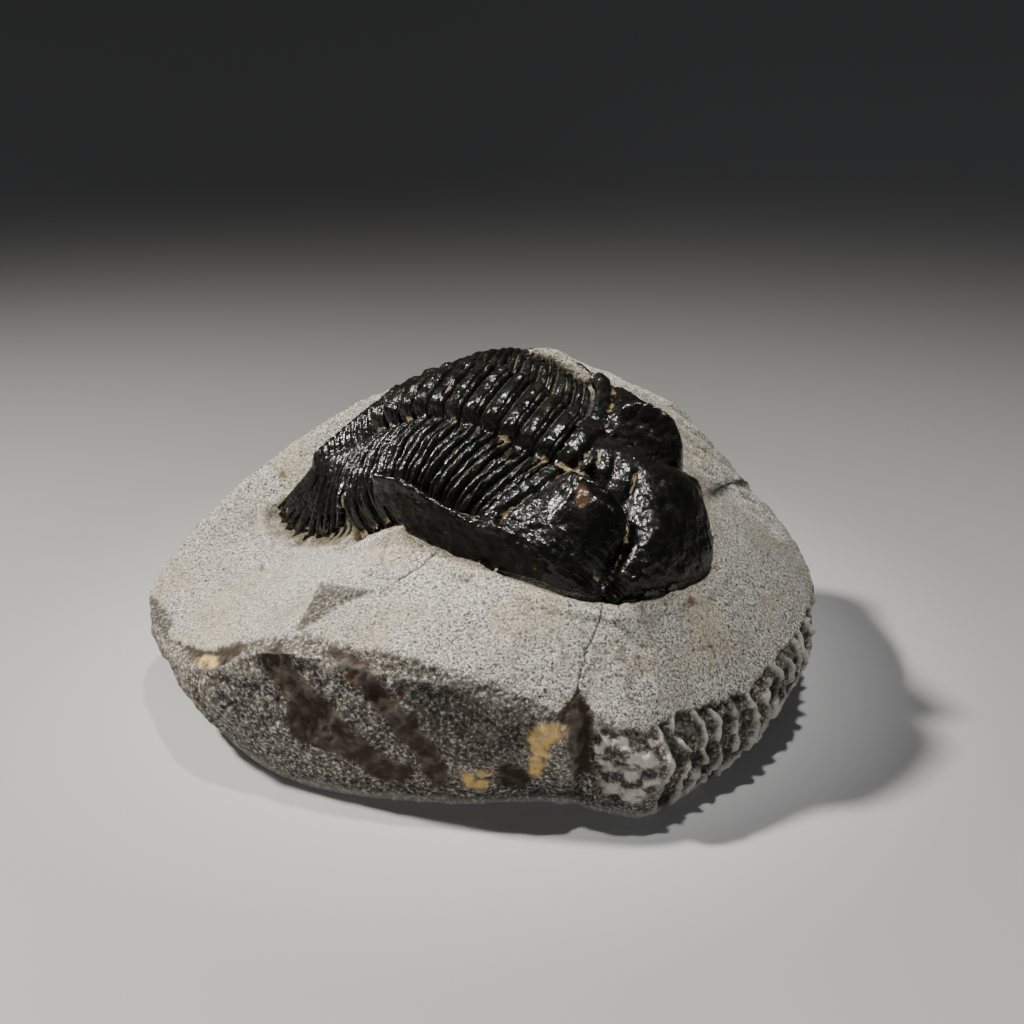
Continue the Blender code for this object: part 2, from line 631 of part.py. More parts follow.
def thin_plate(known):
    """Height over (x, y) of the smoothest sheet through the known points."""
    def kernel(apart):
        return apart ** 2 * np.log(apart + 1e-6)

    flat = known[:, :2]
    count = len(known)
    apart = np.linalg.norm(flat[:, None] - flat[None], axis=2)
    plane = np.concatenate([np.ones((count, 1)), flat], axis=1)
    rows = np.zeros((count + 3, count + 3))
    rows[:count, :count] = kernel(apart) + 2.0 * np.eye(count)
    rows[:count, count:] = plane
    rows[count:, :count] = plane.T
    solved = np.linalg.solve(rows, np.concatenate([known[:, 2], np.zeros(3)]))

    def height(points):
        away = np.linalg.norm(points[:, None, :2] - flat[None], axis=2)
        return kernel(away) @ solved[:count] + solved[count] + points[:, :2] @ solved[count + 1:]

    return height


TOP_RINGS = (0.0, 0.42, 0.57, 0.68, 0.77, 0.85, 0.92, 0.97, 1.0)
SIDE_RINGS = ((0.06, 0.6), (0.22, 2.0), (0.42, 2.6), (0.66, 1.8), (0.9, 0.7), (1.0, 0.0))


def make_block(finish):
    """The block of rock, before the animal is let into it."""
    fine = np.arange(CHISEL_FROM, CHISEL_TO, CHISEL_STEP)
    notch = NOTCH_AT + np.array([-5.0, -3.0, -1.6, -0.5, 0.5, 1.6, 3.0])
    coarse = np.arange(CHISEL_TO + 2.0, 360.0 + NOTCH_AT - 7.0, 7.5)
    coarse = (coarse + 180.0) % 360.0 - 180.0
    angle = np.sort(np.concatenate([fine, notch, [-63.0, -60.5], coarse]))
    way = np.stack([np.cos(np.radians(angle)), np.sin(np.radians(angle))], -1)
    rim_r = periodic(RIM, 1, angle)
    rim_z = periodic(RIM, 2, angle)
    foot_r = periodic(FOOT, 1, angle)
    notched = NOTCH_DEPTH * dent(angle - NOTCH_AT, 2.0)
    chiselled = (angle > CHISEL_FROM - 0.1) & (angle < CHISEL_TO)
    crest = np.round((angle - CHISEL_FROM) / CHISEL_STEP) % 2 == 0
    teeth = np.where(chiselled, np.where(crest, 0.55, -0.45), 0.0)

    stations = np.array(RIM)
    turn = np.radians(stations[:, 0])
    rim = np.stack([stations[:, 1] * np.cos(turn), stations[:, 1] * np.sin(turn), stations[:, 2]], -1)
    worked = thin_plate(np.concatenate([rim, outline_of_fossil()]))

    rings = []
    for f in TOP_RINGS:
        r = rim_r * f - notched * smooth(0.88, 1.0, f)
        ring = np.stack([way[:, 0] * r, way[:, 1] * r, 0.0 * r], -1)
        ring[:, 2] = worked(ring) - 0.5 * smooth(0.95, 1.0, f) - 0.35 * notched * smooth(0.9, 1.0, f)
        ring[:, 2] += 0.35 * rough(ring, 0.11, 3.0) * smooth(0.3, 0.6, f)
        rings.append(ring)
    for f, out in SIDE_RINGS:
        r = rim_r + (foot_r - rim_r) * f ** 1.6 + 0.4 * out - notched * (1.0 - 0.6 * f)
        ring = np.stack([way[:, 0] * r, way[:, 1] * r, rings[len(TOP_RINGS) - 1][:, 2] * (1.0 - f)], -1)
        push = 1.3 * rough(ring, 0.055, 9.0) + 0.5 * rough(ring, 0.2, 4.0)
        push = (push + teeth * np.sin(np.pi * min(0.15 + f, 1.0))) * (1.0 if f < 1.0 else 0.3)
        ring[:, :2] += way * push[:, None]
        rings.append(ring)
    inner = rings[-1].copy()
    inner[:, :2] *= 0.5
    rings.append(inner)

    points = np.concatenate([rings[0][:1]] + rings[1:] + [[[0.0, 0.0, 0.0]]])
    around = len(angle)
    count = len(rings) - 1
    number = 1 + np.arange(count * around).reshape(count, around)
    last = len(points) - 1
    faces = []
    for j in range(around):
        k = (j + 1) % around
        faces.append((0, number[0, j], number[0, k]))
        faces.append((last, number[-1, k], number[-1, j]))
        for i in range(count - 1):
            faces.append((number[i, j], number[i + 1, j], number[i + 1, k], number[i, k]))
    return mesh_object("matrix", points, faces, finish)


def stepped_out(edge, inner, amount, drop):
    """The edge moved away from the row inside it in plan by amount, and lowered by drop."""
    way = edge[..., :2] - inner[..., :2]
    way /= np.linalg.norm(way, axis=-1, keepdims=True) + 1e-9
    moved = edge.copy()
    moved[..., :2] += way * amount
    moved[..., 2] -= drop
    return moved


def cut(block, floor, shape=between, **how):
    """Open the block upward from a floor of points."""
    combine(block, shape("cutter", at_level(floor, 80.0), floor, **how), "DIFFERENCE", ROOM_SOLVER)


def fill(block, roof, shape=between):
    """Raise sediment in the block up to a roof of points."""
    combine(block, shape("core", roof, at_level(roof, 12.0)), "UNION", ROOM_SOLVER)


def let_in(block):
    """Cut room for the animal into the block, then raise the sediment that fills the shell."""
    s, t, u = segment_grid(THORAX_START - 0.8, THORAX_END + 0.8, steps(0.0, 1.0, 6))
    edge = place(s, t, thorax_height(s, t))
    floor = thorax_under(s, t, SEDIMENT + 0.2)
    sides = [
        [stepped_out(edge[:, k], edge[:, inner], out, 0.7) for out in (0.7, -0.7)]
        for k, inner in ((0, 2), (-1, -3))
    ]
    floor = np.concatenate([np.stack(sides[0], 1), floor, np.stack(sides[1][::-1], 1)], axis=1)
    cut(block, floor)

    s, t = head_grid(ROOM_RINGS, ROOM_AROUND)
    edge = place(s, t, head_base(s, t))
    floor = head_under(s, t, SEDIMENT + 1.3)
    rim = [stepped_out(edge[-1], edge[0], -0.9, 2.0), stepped_out(edge[-1], edge[0], 0.8, 0.9)]
    floor = np.concatenate([floor, np.array(rim)])
    cut(block, floor, between_rings)

    floor = tail_grids(depth=-2.9, plain=True, thin_tips=0.15, rows=8)
    edge = tail_grids(plain=True, rows=8)
    sides = [
        [stepped_out(edge[:, k], edge[:, inner], out, down) for out, down in ((0.9, 1.2), (-0.7, 1.6))]
        for k, inner in ((0, 1), (-1, -2))
    ]
    floor = np.concatenate([np.stack(sides[0], 1), floor[:, 1:-1], np.stack(sides[1][::-1], 1)], axis=1)
    floor[0, :, :2] += 0.6 * np.array([np.cos(np.radians(HEADING_DEG)), -np.sin(np.radians(HEADING_DEG))])
    cut(block, floor, zipped=True)

    for side in (1, -1):
        combine(block, blade_body(side, grow=0.6, lift=20.0), "DIFFERENCE", ROOM_SOLVER)
    for side in (1, -1):
        combine(block, fill_body(side), "UNION", ROOM_SOLVER)

    s, t, u = segment_grid(THORAX_START + 1.3, THORAX_END - 0.1, steps(0.0, 1.0, 5))
    roof = thorax_under(s, t, SEDIMENT)
    fill(block, roof)

    s, t = head_grid(ROOM_RINGS[:-1], ROOM_AROUND)
    roof = head_under(s, t, SEDIMENT + 1.1)
    fill(block, roof, between_rings)

    roof = tail_grids(depth=-2.6, plain=True, reach=0.8, rows=6)[:-2, 1:-1]
    fill(block, roof)
    for side in (1, -1):
        combine(block, blade_body(side, grow=0.5), "DIFFERENCE", ROOM_SOLVER)
    clean_fusion(block)


def main():
    for item in list(bpy.data.objects):
        bpy.data.objects.remove(item, do_unlink=True)
    limestone = material("pale_limestone", (0.48, 0.46, 0.41), 0.85)
    shell = material("black_calcite_shell", (0.018, 0.017, 0.016), 0.3)
    make_head(shell)
    for index in range(1, SEGMENTS + 1):
        make_segment(index, shell)
    make_tail(shell)
    block = make_block(limestone)
    let_in(block)


main()
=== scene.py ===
# %% [markdown]
# # A trilobite on its block of limestone
# The real thing is one loose block of stone. Its top was worked back with fine tools until the animal stood
# free on it, and its sides were left broken and chiselled. The animal is fourteen plates of black calcite.
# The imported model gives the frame: every finished piece here stays where its plain solid is.

# %% Load the frame
import bpy
import numpy as np
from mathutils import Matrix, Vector
from mathutils import noise
from mathutils.bvhtree import BVHTree
from mathutils.kdtree import KDTree


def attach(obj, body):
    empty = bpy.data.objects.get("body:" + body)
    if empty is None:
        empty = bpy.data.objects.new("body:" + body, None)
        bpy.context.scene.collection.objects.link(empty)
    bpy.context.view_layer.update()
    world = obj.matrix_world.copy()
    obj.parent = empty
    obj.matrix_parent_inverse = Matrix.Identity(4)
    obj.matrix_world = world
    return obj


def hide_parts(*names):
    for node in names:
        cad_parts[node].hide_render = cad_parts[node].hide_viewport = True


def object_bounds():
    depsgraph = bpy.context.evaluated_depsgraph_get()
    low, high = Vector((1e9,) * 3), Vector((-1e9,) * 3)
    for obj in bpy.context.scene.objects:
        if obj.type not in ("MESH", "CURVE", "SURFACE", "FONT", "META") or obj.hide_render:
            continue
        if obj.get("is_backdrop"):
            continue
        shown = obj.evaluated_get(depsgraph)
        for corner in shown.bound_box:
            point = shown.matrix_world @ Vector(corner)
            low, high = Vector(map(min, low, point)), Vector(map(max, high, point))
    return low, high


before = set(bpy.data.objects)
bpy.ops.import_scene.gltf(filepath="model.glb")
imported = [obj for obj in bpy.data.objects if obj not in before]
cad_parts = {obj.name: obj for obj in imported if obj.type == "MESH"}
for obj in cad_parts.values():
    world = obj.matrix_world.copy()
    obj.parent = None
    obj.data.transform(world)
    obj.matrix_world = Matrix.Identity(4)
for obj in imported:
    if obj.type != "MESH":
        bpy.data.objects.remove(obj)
cad_low, cad_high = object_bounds()
MM = 0.001
print("packed box in mm:", [round(side / MM, 1) for side in cad_high - cad_low])

# %% [markdown]
# ## A ruler laid along the animal
# A bent animal is hard to shape in plain x, y and z. So every plate is shaped in the animal's own measures:
# s along the back from tail to head, t across it, and h off it, all in millimetres. One function then bends
# them into place. The numbers are the same as in the solid model, so the plates land on their solids.

# %% The curve of the back
HEADING, ROLL_BODY, ROLL_HEAD = np.radians((26.5, 11.4, 3.8))
CREST = np.array([-1.2, 1.0, 51.2])
CREST_AT = 34.5
SLOPE_AT = (-14, 0, 16, 25, 34, 43, 52, 62, 72, 84)
SLOPE_DEG = (-46, -43, -40, -28.5, -1, 20, 23.5, 27, 33, 43)

stations = np.linspace(-20.0, 90.0, 1101)
tilt = np.radians(np.interp(stations, SLOPE_AT, SLOPE_DEG))
window = np.hanning(101)
tilt = np.convolve(np.pad(tilt, 50, "edge"), window / window.sum(), "valid")
ahead = np.concatenate([[0.0], np.cumsum(0.5 * (np.cos(tilt[1:]) + np.cos(tilt[:-1])) * np.diff(stations))])
rise = -np.concatenate([[0.0], np.cumsum(0.5 * (np.sin(tilt[1:]) + np.sin(tilt[:-1])) * np.diff(stations))])
ahead -= np.interp(CREST_AT, stations, ahead)
rise -= np.interp(CREST_AT, stations, rise)


def blend(first, second, share):
    return first + (second - first) * share


def limited(x):
    return np.clip(x, 0.0, 1.0)


def smooth(low, high, x):
    """0 up to low, 1 from high on, and an even curve between them."""
    y = limited((x - low) / (high - low))
    return y * y * (3.0 - 2.0 * y)


def place(s, t, h):
    """The animal's own measures to the world, in millimetres."""
    s, t, h = np.broadcast_arrays(np.asarray(s, float), np.asarray(t, float), np.asarray(h, float))
    roll = blend(ROLL_BODY, ROLL_HEAD, smooth(40.0, 64.0, s))[..., None]
    forward = np.array([np.cos(HEADING), -np.sin(HEADING), 0.0])
    right = np.array([-np.sin(HEADING), -np.cos(HEADING), 0.0])
    up = np.array([0.0, 0.0, 1.0])
    across = right * np.cos(roll) - up * np.sin(roll)
    away = up * np.cos(roll) + right * np.sin(roll)
    slope = np.interp(s, stations, tilt)
    run = np.interp(s, stations, ahead) + np.sin(slope) * h
    lift = np.interp(s, stations, rise)
    off = (np.cos(slope) * h)[..., None]
    return CREST + run[..., None] * forward + lift[..., None] * up + off * away + t[..., None] * across


def measures_of(points):
    """Undo place() for points near the animal: the nearest station of a coarse net, then Newton's method."""
    s, t, h = np.meshgrid(np.linspace(-16, 84, 51), np.linspace(-24, 24, 13), np.linspace(-14, 4, 7))
    net = np.stack([s.ravel(), t.ravel(), h.ravel()], -1)
    tree = KDTree(len(net))
    for number, point in enumerate(place(*net.T)):
        tree.insert(point, number)
    tree.balance()
    found = net[[tree.find(point)[1] for point in points]]
    for _ in range(6):
        here = place(*found.T)
        slopes = [(place(*(found + step).T) - here) / 0.01 for step in 0.01 * np.eye(3)]
        change = np.linalg.solve(np.stack(slopes, -1), (points - here)[..., None])[..., 0]
        found = found + np.clip(change, -3.0, 3.0)
    return found


print("crest of the back in mm:", place(CREST_AT, 0.0, 0.0).round(1))

# %% [markdown]
# ## Small helpers
# Blender's operators act on whatever is selected, so each helper first deselects everything. A plate starts
# as a flat grid, as a sheet of clay would. Each point of the grid is then sent to its place on the plate.

# %% Helpers for meshes


def choose(piece):
    """Make one object the only selected and active one."""
    bpy.ops.object.select_all(action="DESELECT")
    piece.select_set(True)
    bpy.context.view_layer.objects.active = piece


def vectors(elements, name):
    """One vector for each point or face of a mesh, as an array."""
    flat = np.zeros(len(elements) * 3)
    elements.foreach_get(name, flat)
    return flat.reshape(-1, 3)


def points_of(piece):
    """The piece's points as an array, in millimetres."""
    return vectors(piece.data.vertices, "co") / MM


def move_points(piece, points):
    piece.data.vertices.foreach_set("co", (points * MM).ravel())
    piece.data.update()


def inside_box(points):
    """The points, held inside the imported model's box."""
    return np.clip(points, np.array(cad_low) / MM, np.array(cad_high) / MM)


def normals_of(piece):
    return vectors(piece.data.vertices, "normal")


def finish_with(piece, kind, **settings):
    """Add a modifier and apply it at once."""
    choose(piece)
    modifier = piece.modifiers.new(kind.lower(), kind)
    for name, value in settings.items():
        setattr(modifier, name, value)
    bpy.ops.object.modifier_apply(modifier=modifier.name)


def sheet(name, along, across, shape):
    """A grid whose points, known by their place (u, v) in it, are sent to their place on the piece."""
    bpy.ops.object.select_all(action="DESELECT")
    bpy.ops.mesh.primitive_grid_add(x_subdivisions=across, y_subdivisions=along, size=1.0)
    piece = bpy.context.object
    piece.name = piece.data.name = name
    flat = points_of(piece) * MM
    move_points(piece, shape(flat[:, 0] + 0.5, flat[:, 1] + 0.5))
    return piece


def edit_faces(piece, action="SELECT"):
    """Open one piece in edit mode, with all of it selected or none."""
    choose(piece)
    bpy.ops.object.mode_set(mode="EDIT")
    bpy.ops.mesh.select_all(action=action)


def close_seams(piece, distance=0.01):
    """Merge the points that meet, then turn every face outwards."""
    edit_faces(piece)
    bpy.ops.mesh.remove_doubles(threshold=distance * MM)
    bpy.ops.mesh.normals_make_consistent(inside=False)
    bpy.ops.object.mode_set(mode="OBJECT")


def plate(name, along, across, shape, thickness):
    """A plate of shell: a bent sheet, closed at its seams and given its thickness on the inside."""
    piece = sheet(name, along, across, shape)
    close_seams(piece)
    finish_with(piece, "SOLIDIFY", thickness=thickness * MM, offset=-1.0)
    return piece


def paint(piece, name, values):
    """Store one number for each point, for the materials to read."""
    layer = piece.data.attributes.get(name) or piece.data.attributes.new(name, "FLOAT", "POINT")
    layer.data.foreach_set("value", np.asarray(values, float))


def softened(piece, values, rounds):
    """Average each point's value with its neighbours', several times over."""
    ends = np.zeros(len(piece.data.edges) * 2, int)
    piece.data.edges.foreach_get("vertices", ends)
    a, b = ends.reshape(-1, 2).T
    count = np.bincount(a, minlength=len(values)) + np.bincount(b, minlength=len(values))
    for _ in range(rounds):
        total = [
            np.bincount(a, column[b], len(values)) + np.bincount(b, column[a], len(values))
            for column in values.T
        ]
        values = np.stack(total, -1) / np.maximum(count, 1)[:, None]
    return values


def hollowness(piece, rounds):
    """How far each point lies below its softened surroundings, in mm: high in furrows, negative on crests."""
    points = points_of(piece)
    return ((softened(piece, points, rounds) - points) * normals_of(piece)).sum(axis=1)


def grain(points, size, seed=0.0):
    """Smooth random value for each point, about -1 to 1, with lumps of the given size in mm."""
    return np.array([noise.noise(Vector(point) / size + Vector((seed, seed, seed))) for point in points])


def streaks(a, b, seed=0.0):
    """The same kind of value over two measures that are already divided by the size of the lumps."""
    a, b = np.broadcast_arrays(a, b)
    value = [noise.noise(Vector((x, y, seed))) for x, y in zip(a.ravel(), b.ravel())]
    return np.array(value).reshape(a.shape)


# %% [markdown]
# ## The black shell
# The shell is calcite, stained black and cleaned with a fine air tool, then waxed. It is glossy on crests and
# holds pale rock dust in its furrows. Its colour is nearly black all over, so the eye reads it by its gloss.
# The wrinkles in the bump are about half a millimetre wide: each one then catches the light as a point of its
# own, where still finer ones would only blur into a grey sheen.

# %% Colours and nodes


def linear(code):
    """An sRGB hex colour as the linear numbers that a shader reads."""
    parts = np.array([int(code[i:i + 2], 16) for i in (1, 3, 5)]) / 255.0
    return (*np.where(parts <= 0.04045, parts / 12.92, ((parts + 0.055) / 1.055) ** 2.4), 1.0)


def start_material(name):
    made = bpy.data.materials.new(name)
    made.use_nodes = True
    return made, made.node_tree.nodes["Principled BSDF"]


def add_node(owner, kind, settings=None, links=None, **values):
    """Add a node, set it up, and link its inputs from (node, output) pairs.

    A value named i1 is for input number 1, and any other name is the input's own, such as Scale.
    """
    node = owner.node_tree.nodes.new("ShaderNode" + kind)
    for key, value in (settings or {}).items():
        setattr(node, key, value)
    for key, value in values.items():
        by_number = key[0] == "i" and key[1:].isdigit()
        node.inputs[int(key[1:]) if by_number else key.replace("_", " ")].default_value = value
    for key, (source, output) in (links or {}).items():
        owner.node_tree.links.new(source.outputs[output], node.inputs[key])
    return node


def speckle(owner, where, scale, detail, roughness):
    """Noise over the object's own coordinates."""
    return add_node(
        owner, "TexNoise", links={0: (where, "Object")}, Scale=scale, Detail=detail, Roughness=roughness
    )


def between(owner, source, low, high, at_low=0.0, at_high=1.0):
    """Spread the source's values from low to high over at_low to at_high."""
    return add_node(
        owner, "MapRange", {"clamp": True}, {0: (source, 0)}, i1=low, i2=high, i3=at_low, i4=at_high
    )


def ramp_of(owner, source, output, *stops):
    """A colour ramp with stops of (place, hex colour)."""
    node = add_node(owner, "ValToRGB", links={0: (source, output)})
    while len(node.color_ramp.elements) < len(stops):
        node.color_ramp.elements.new(0.5)
    for element, (at, code) in zip(node.color_ramp.elements, stops):
        element.position = at
        element.color = linear(code)
    return node


def mixed(owner, share, first, second):
    """Colour mix: share, first and second are (node, output) pairs or hex colours."""
    node = add_node(owner, "Mix", {"data_type": "RGBA"})
    for key, value in ((6, first), (7, second)):
        if isinstance(value, str):
            node.inputs[key].default_value = linear(value)
        else:
            owner.node_tree.links.new(value[0].outputs[value[1]], node.inputs[key])
    owner.node_tree.links.new(share[0].outputs[share[1]], node.inputs[0])
    return node


# %% Black calcite shell


def shell_material(name, reflection, smoothest, roughest, colours):
    """Waxed black calcite. The painted "residue" is rock dust, and "wear" is where the wax is rubbed off."""
    made, surface = start_material(name)
    where = add_node(made, "TexCoord")
    blotch = speckle(made, where, 350.0, 6.0, 0.65)
    body = ramp_of(made, blotch, 0, *zip((0.35, 0.55, 0.72), colours))
    dust_amount = add_node(made, "Attribute", {"attribute_name": "residue"})
    dust_noise = speckle(made, where, 900.0, 4.0, 0.7)
    dust_sum = add_node(
        made, "Math", {"operation": "MULTIPLY_ADD"}, {0: (dust_noise, 0), 2: (dust_amount, "Fac")}, i1=1.2
    )
    dust = between(made, dust_sum, 0.95, 1.3)
    dusty = mixed(made, (dust, 0), (body, 0), "#857450")
    wear_amount = add_node(made, "Attribute", {"attribute_name": "wear"})
    worn = mixed(made, (wear_amount, "Fac"), (dusty, 2), "#493527")
    made.node_tree.links.new(worn.outputs[2], surface.inputs["Base Color"])
    gloss = between(made, dust_noise, 0.35, 0.65, smoothest, roughest)
    dull = add_node(made, "Math", {"operation": "MAXIMUM"}, {0: (gloss, 0), 1: (dust, 0)})
    made.node_tree.links.new(dull.outputs[0], surface.inputs["Roughness"])
    wrinkle = speckle(made, where, 950.0, 2.2, 0.62)
    fine = add_node(made, "Bump", links={"Height": (wrinkle, 0)}, Strength=0.5, Distance=0.0005)
    made.node_tree.links.new(fine.outputs[0], surface.inputs["Normal"])
    surface.inputs["Specular IOR Level"].default_value = reflection
    return made


shell = shell_material("black_calcite_shell", 0.38, 0.15, 0.36, ("#0A0A09", "#12120F", "#24221A"))
# The outer face of the cheek and of its spine is rubbed less: it stays satin and a little brown
satin = shell_material("satin_calcite_shell", 0.16, 0.3, 0.5, ("#080807", "#10100D", "#252018"))
print("shell nodes:", len(shell.node_tree.nodes))

# %% [markdown]
# ## The rest of the animal's measures
# How wide and how high each part is along the back. They follow the solid model, with finer relief on top.

# %% Measures of body and head
AXIS_END, THORAX_START, THORAX_END, SEGMENTS = -1.3, 16.0, 52.0, 11
HALF_WIDTH_AT, HALF_WIDTH = (12, 30, 52), (17.5, 18.8, 18.5)
AXIS_AT, AXIS_HALF = (0, 8, 16, 25, 34, 43, 52), (2.0, 3.0, 4.4, 5.8, 6.6, 6.4, 5.6)
AXIS_RISE, FLANK_DROP, SWEEP = 3.2, 9.0, 3.8
# Half the open seam between the body and each shield
SEAM = 0.25
HEAD_MARGIN = np.array((
    (49.0, 21.4, -12.4), (54.0, 22.0, -11.9), (58.6, 22.0, -10.6), (65.3, 21.4, -8.7),
    (69.5, 20.0, -7.4), (73.0, 17.8, -5.9), (75.9, 14.0, -4.9), (78.4, 9.0, -4.3),
    (80.2, 4.6, -4.1), (80.9, 0.0, -4.1),
))
LEFT_EDGE_AT = (62, 65, 68, 70, 72, 74, 76, 78, 80, 80.9)
LEFT_EDGE = (22, 18.8, 15.2, 13.0, 11.0, 8.9, 6.7, 4.5, 1.8, 0)
CROWN_AT = (48, 52, 60, 63, 66, 69, 72, 76, 81)
CROWN = (-2.2, -2.0, -1.2, -1.8, -3.6, -5.4, -5.6, -4.8, -4.1)
GLABELLA_AT = (52, 54, 56, 60, 63, 66, 68.5, 71, 73.5, 76, 78, 79.6, 80.9)
GLABELLA_HALF = (5.7, 5.9, 5.4, 5.5, 6.3, 7.7, 10.2, 12.0, 12.6, 11.2, 8.8, 5.6, 1.5)
# On the right the front lobe reaches the margin: the cheek pinches out before it
LOBE_RIGHT = (5.7, 5.9, 5.4, 5.5, 6.3, 8.2, 12.4, 16.6, 17.1, 13.6, 9.4, 6.1, 1.5)
GLABELLA_TOP = (0.8, 1.0, 1.0, 1.6, 2.1, 2.4, 2.3, 1.7, 0.7, -0.6, -1.8, -2.9, -4.1)


def dome(x, power=2.2):
    """1 in the middle, 0 at x = 1, round over the top and steep at the edge."""
    return limited(1.0 - np.abs(x) ** power) ** (1.0 / power)


def dent(distance, width):
    return np.exp(-((distance / width) ** 2))


def swept(line, x):
    """Where a line across the body lies at x along its flank: it bends back towards the tips of the ribs."""
    return line - SWEEP * x ** 1.3


def axis_half(s):
    return np.interp(s, AXIS_AT, AXIS_HALF)


def body_half(s):
    return np.interp(s, HALF_WIDTH_AT, HALF_WIDTH)


def flank_x(s, t):
    """0 at the axial furrow, 1 at the end of the rib."""
    return limited((np.abs(t) - axis_half(s)) / (body_half(s) - axis_half(s)))


def thorax_height(s, t):
    a = axis_half(s)
    x = flank_x(s, t)
    lobe = AXIS_RISE * dome(np.abs(t) / a) - AXIS_RISE
    flank = 0.35 * np.sin(np.pi * limited(x / 0.6)) - FLANK_DROP * (1.0 - dome(x, 2.6))
    return np.where(np.abs(t) < a, lobe, flank - AXIS_RISE)


def margin_of(s, t=0.0):
    """Half width and height of the head's edge: the left front of it is still covered by rock."""
    order = np.clip(s, HEAD_MARGIN[0, 0], HEAD_MARGIN[-1, 0])
    half = np.interp(order, HEAD_MARGIN[:, 0], HEAD_MARGIN[:, 1])
    half = np.where(t < 0.0, np.minimum(half, np.interp(s, LEFT_EDGE_AT, LEFT_EDGE)), half)
    return np.maximum(half, 0.05), np.interp(order, HEAD_MARGIN[:, 0], HEAD_MARGIN[:, 2])


# %% [markdown]
# ## The view of the photograph
# Stains, cracks and the worn spot were placed from the photograph. So the camera is worked out first.
# One function tells where a point falls in the frame, in pixels from its upper left corner, and two more draw
# a line or a patch there as a soft mark on the points.

# %% Where a point falls in the frame
LENS, FILM, PHOTO = 100.0, 36.0, 1024.0
PIXELS_PER_MM = 6.57
ELEVATION = np.radians(28.0)
back = np.array((0.0, -np.cos(ELEVATION), np.sin(ELEVATION)))
upward = np.array((0.0, np.sin(ELEVATION), np.cos(ELEVATION)))
LOOKED_AT = np.array((0.003, 0.0, 0.022))
eye = LOOKED_AT + back * LENS / FILM * PHOTO / PIXELS_PER_MM * MM


def unshifted(points):
    """Pixels right of and below the lens axis, for points in mm."""
    away = points * MM - eye
    return LENS / FILM * PHOTO * np.stack([away[:, 0], -(away @ upward)], -1) / -(away @ back)[:, None]


FOOT_SEEN = np.array((482.0, 680.0))
shift = FOOT_SEEN - unshifted(np.zeros((1, 3)))[0]


def distance_to(pixels, line):
    near = np.full(len(pixels), 1e9)
    for start, end in zip(np.array(line[:-1], float), np.array(line[1:], float)):
        way = end - start
        share = limited((pixels - start) @ way / (way @ way))
        near = np.minimum(near, np.linalg.norm(pixels - start - share[:, None] * way, axis=1))
    return near


def patch(pixels, outline, soft):
    """1 inside a closed outline, 0 outside, with a soft edge."""
    x, y = pixels.T
    inside = np.zeros(len(pixels), bool)
    for (ax, ay), (bx, by) in zip(outline, outline[1:] + outline[:1]):
        if ay != by:
            inside ^= ((ay > y) != (by > y)) & (x < ax + (bx - ax) * (y - ay) / (by - ay))
    edge = distance_to(pixels, outline + outline[:1])
    return smooth(-soft, soft, np.where(inside, edge, -edge))


print("the foot of the block is seen at", FOOT_SEEN, "pixels")

# %% [markdown]
# ## Eleven body segments
# Each segment is one hard ring: a raised middle over the axis, and a double-ridged rib on each side that
# sweeps back to a rounded tip. One sheet is bent into this shape for each segment, and Solidify gives it the
# thickness of shell. A copy would not do, because each is a little wider and more bent than the next.

# %% Thorax segments
SEGMENT_LENGTH = (THORAX_END - THORAX_START) / SEGMENTS
GAP = 0.4
# The axis takes this much of the sheet on each side of its middle
AXIS_SHARE = 0.14
SEGMENT_THICKNESS, TAIL_THICKNESS, HEAD_THICKNESS = 1.3, 1.2, 1.6


def split_sheet(u, axis_share):
    """Turn u into a place from 0 to 1 over half the axis, and one from 0 to 1 along the flank beyond it."""
    off = np.abs(u - 0.5)
    return limited(off / axis_share), limited((off - axis_share) / (0.5 - axis_share))


def across_body(u, line):
    """Place across the body for u from 0 to 1."""
    inner, beyond = split_sheet(u, AXIS_SHARE)
    a = axis_half(line)
    return np.sign(u - 0.5) * (inner * a + (body_half(line) - a) * beyond)


def segment_relief(v, s, t, number):
    """Ring and rib relief for v from 0 at the rear edge to 1 at the front edge."""
    a = axis_half(s)
    edge = np.abs(2.0 * v - 1.0)
    ring = -0.9 * edge ** 3.2 - 0.3 * dent(v - 0.76 + 0.05 * streaks(t / 2.0, number, 8.0), 0.06)
    knob = 0.55 * dent(np.abs(t) - 0.8 * a, 0.24 * a)
    x = flank_x(s, t)
    furrow = 0.62 - 0.22 * x + 0.07 * streaks(t / 4.0, number, 3.0)
    furrow_depth = 0.6 * smooth(0.0, 0.08, x) * (1.0 - 0.5 * smooth(0.8, 1.0, x))
    rib = -0.85 * edge ** 7 - furrow_depth * dent(v - furrow, 0.09)
    rib = rib + 0.25 * streaks(number * 1.7, t / 3.5, 5.0)
    over = smooth(0.92, 1.06, np.abs(t) / a)
    lumps = 0.34 * streaks(s / 1.9, t / 2.2, number) + 0.12 * streaks(s / 0.6, t / 0.9, number)
    wrinkles = 0.26 * streaks(s / 0.5, t / 3.0, number) + 0.36 * streaks(s / 1.5, t / 2.6, number)
    inside = smooth(0.0, 0.1, 0.5 - np.abs(v - 0.5))
    return (ring + knob + lumps * inside) * (1.0 - over) + (rib + wrinkles * inside) * over


def segment_shape(number):
    rear = THORAX_END - SEGMENT_LENGTH * number

    def shape(u, v):
        tip = smooth(0.9, 1.0, np.abs(2.0 * u - 1.0))
        own = 0.5 + (v - 0.5) * (1.0 - GAP / SEGMENT_LENGTH) * (1.0 - 0.45 * tip ** 2)
        line = rear + SEGMENT_LENGTH * own
        t = across_body(u, line)
        s = swept(line, flank_x(line, t))
        return place(s, t, thorax_height(s, t) + segment_relief(v, s, t, number))

    return shape


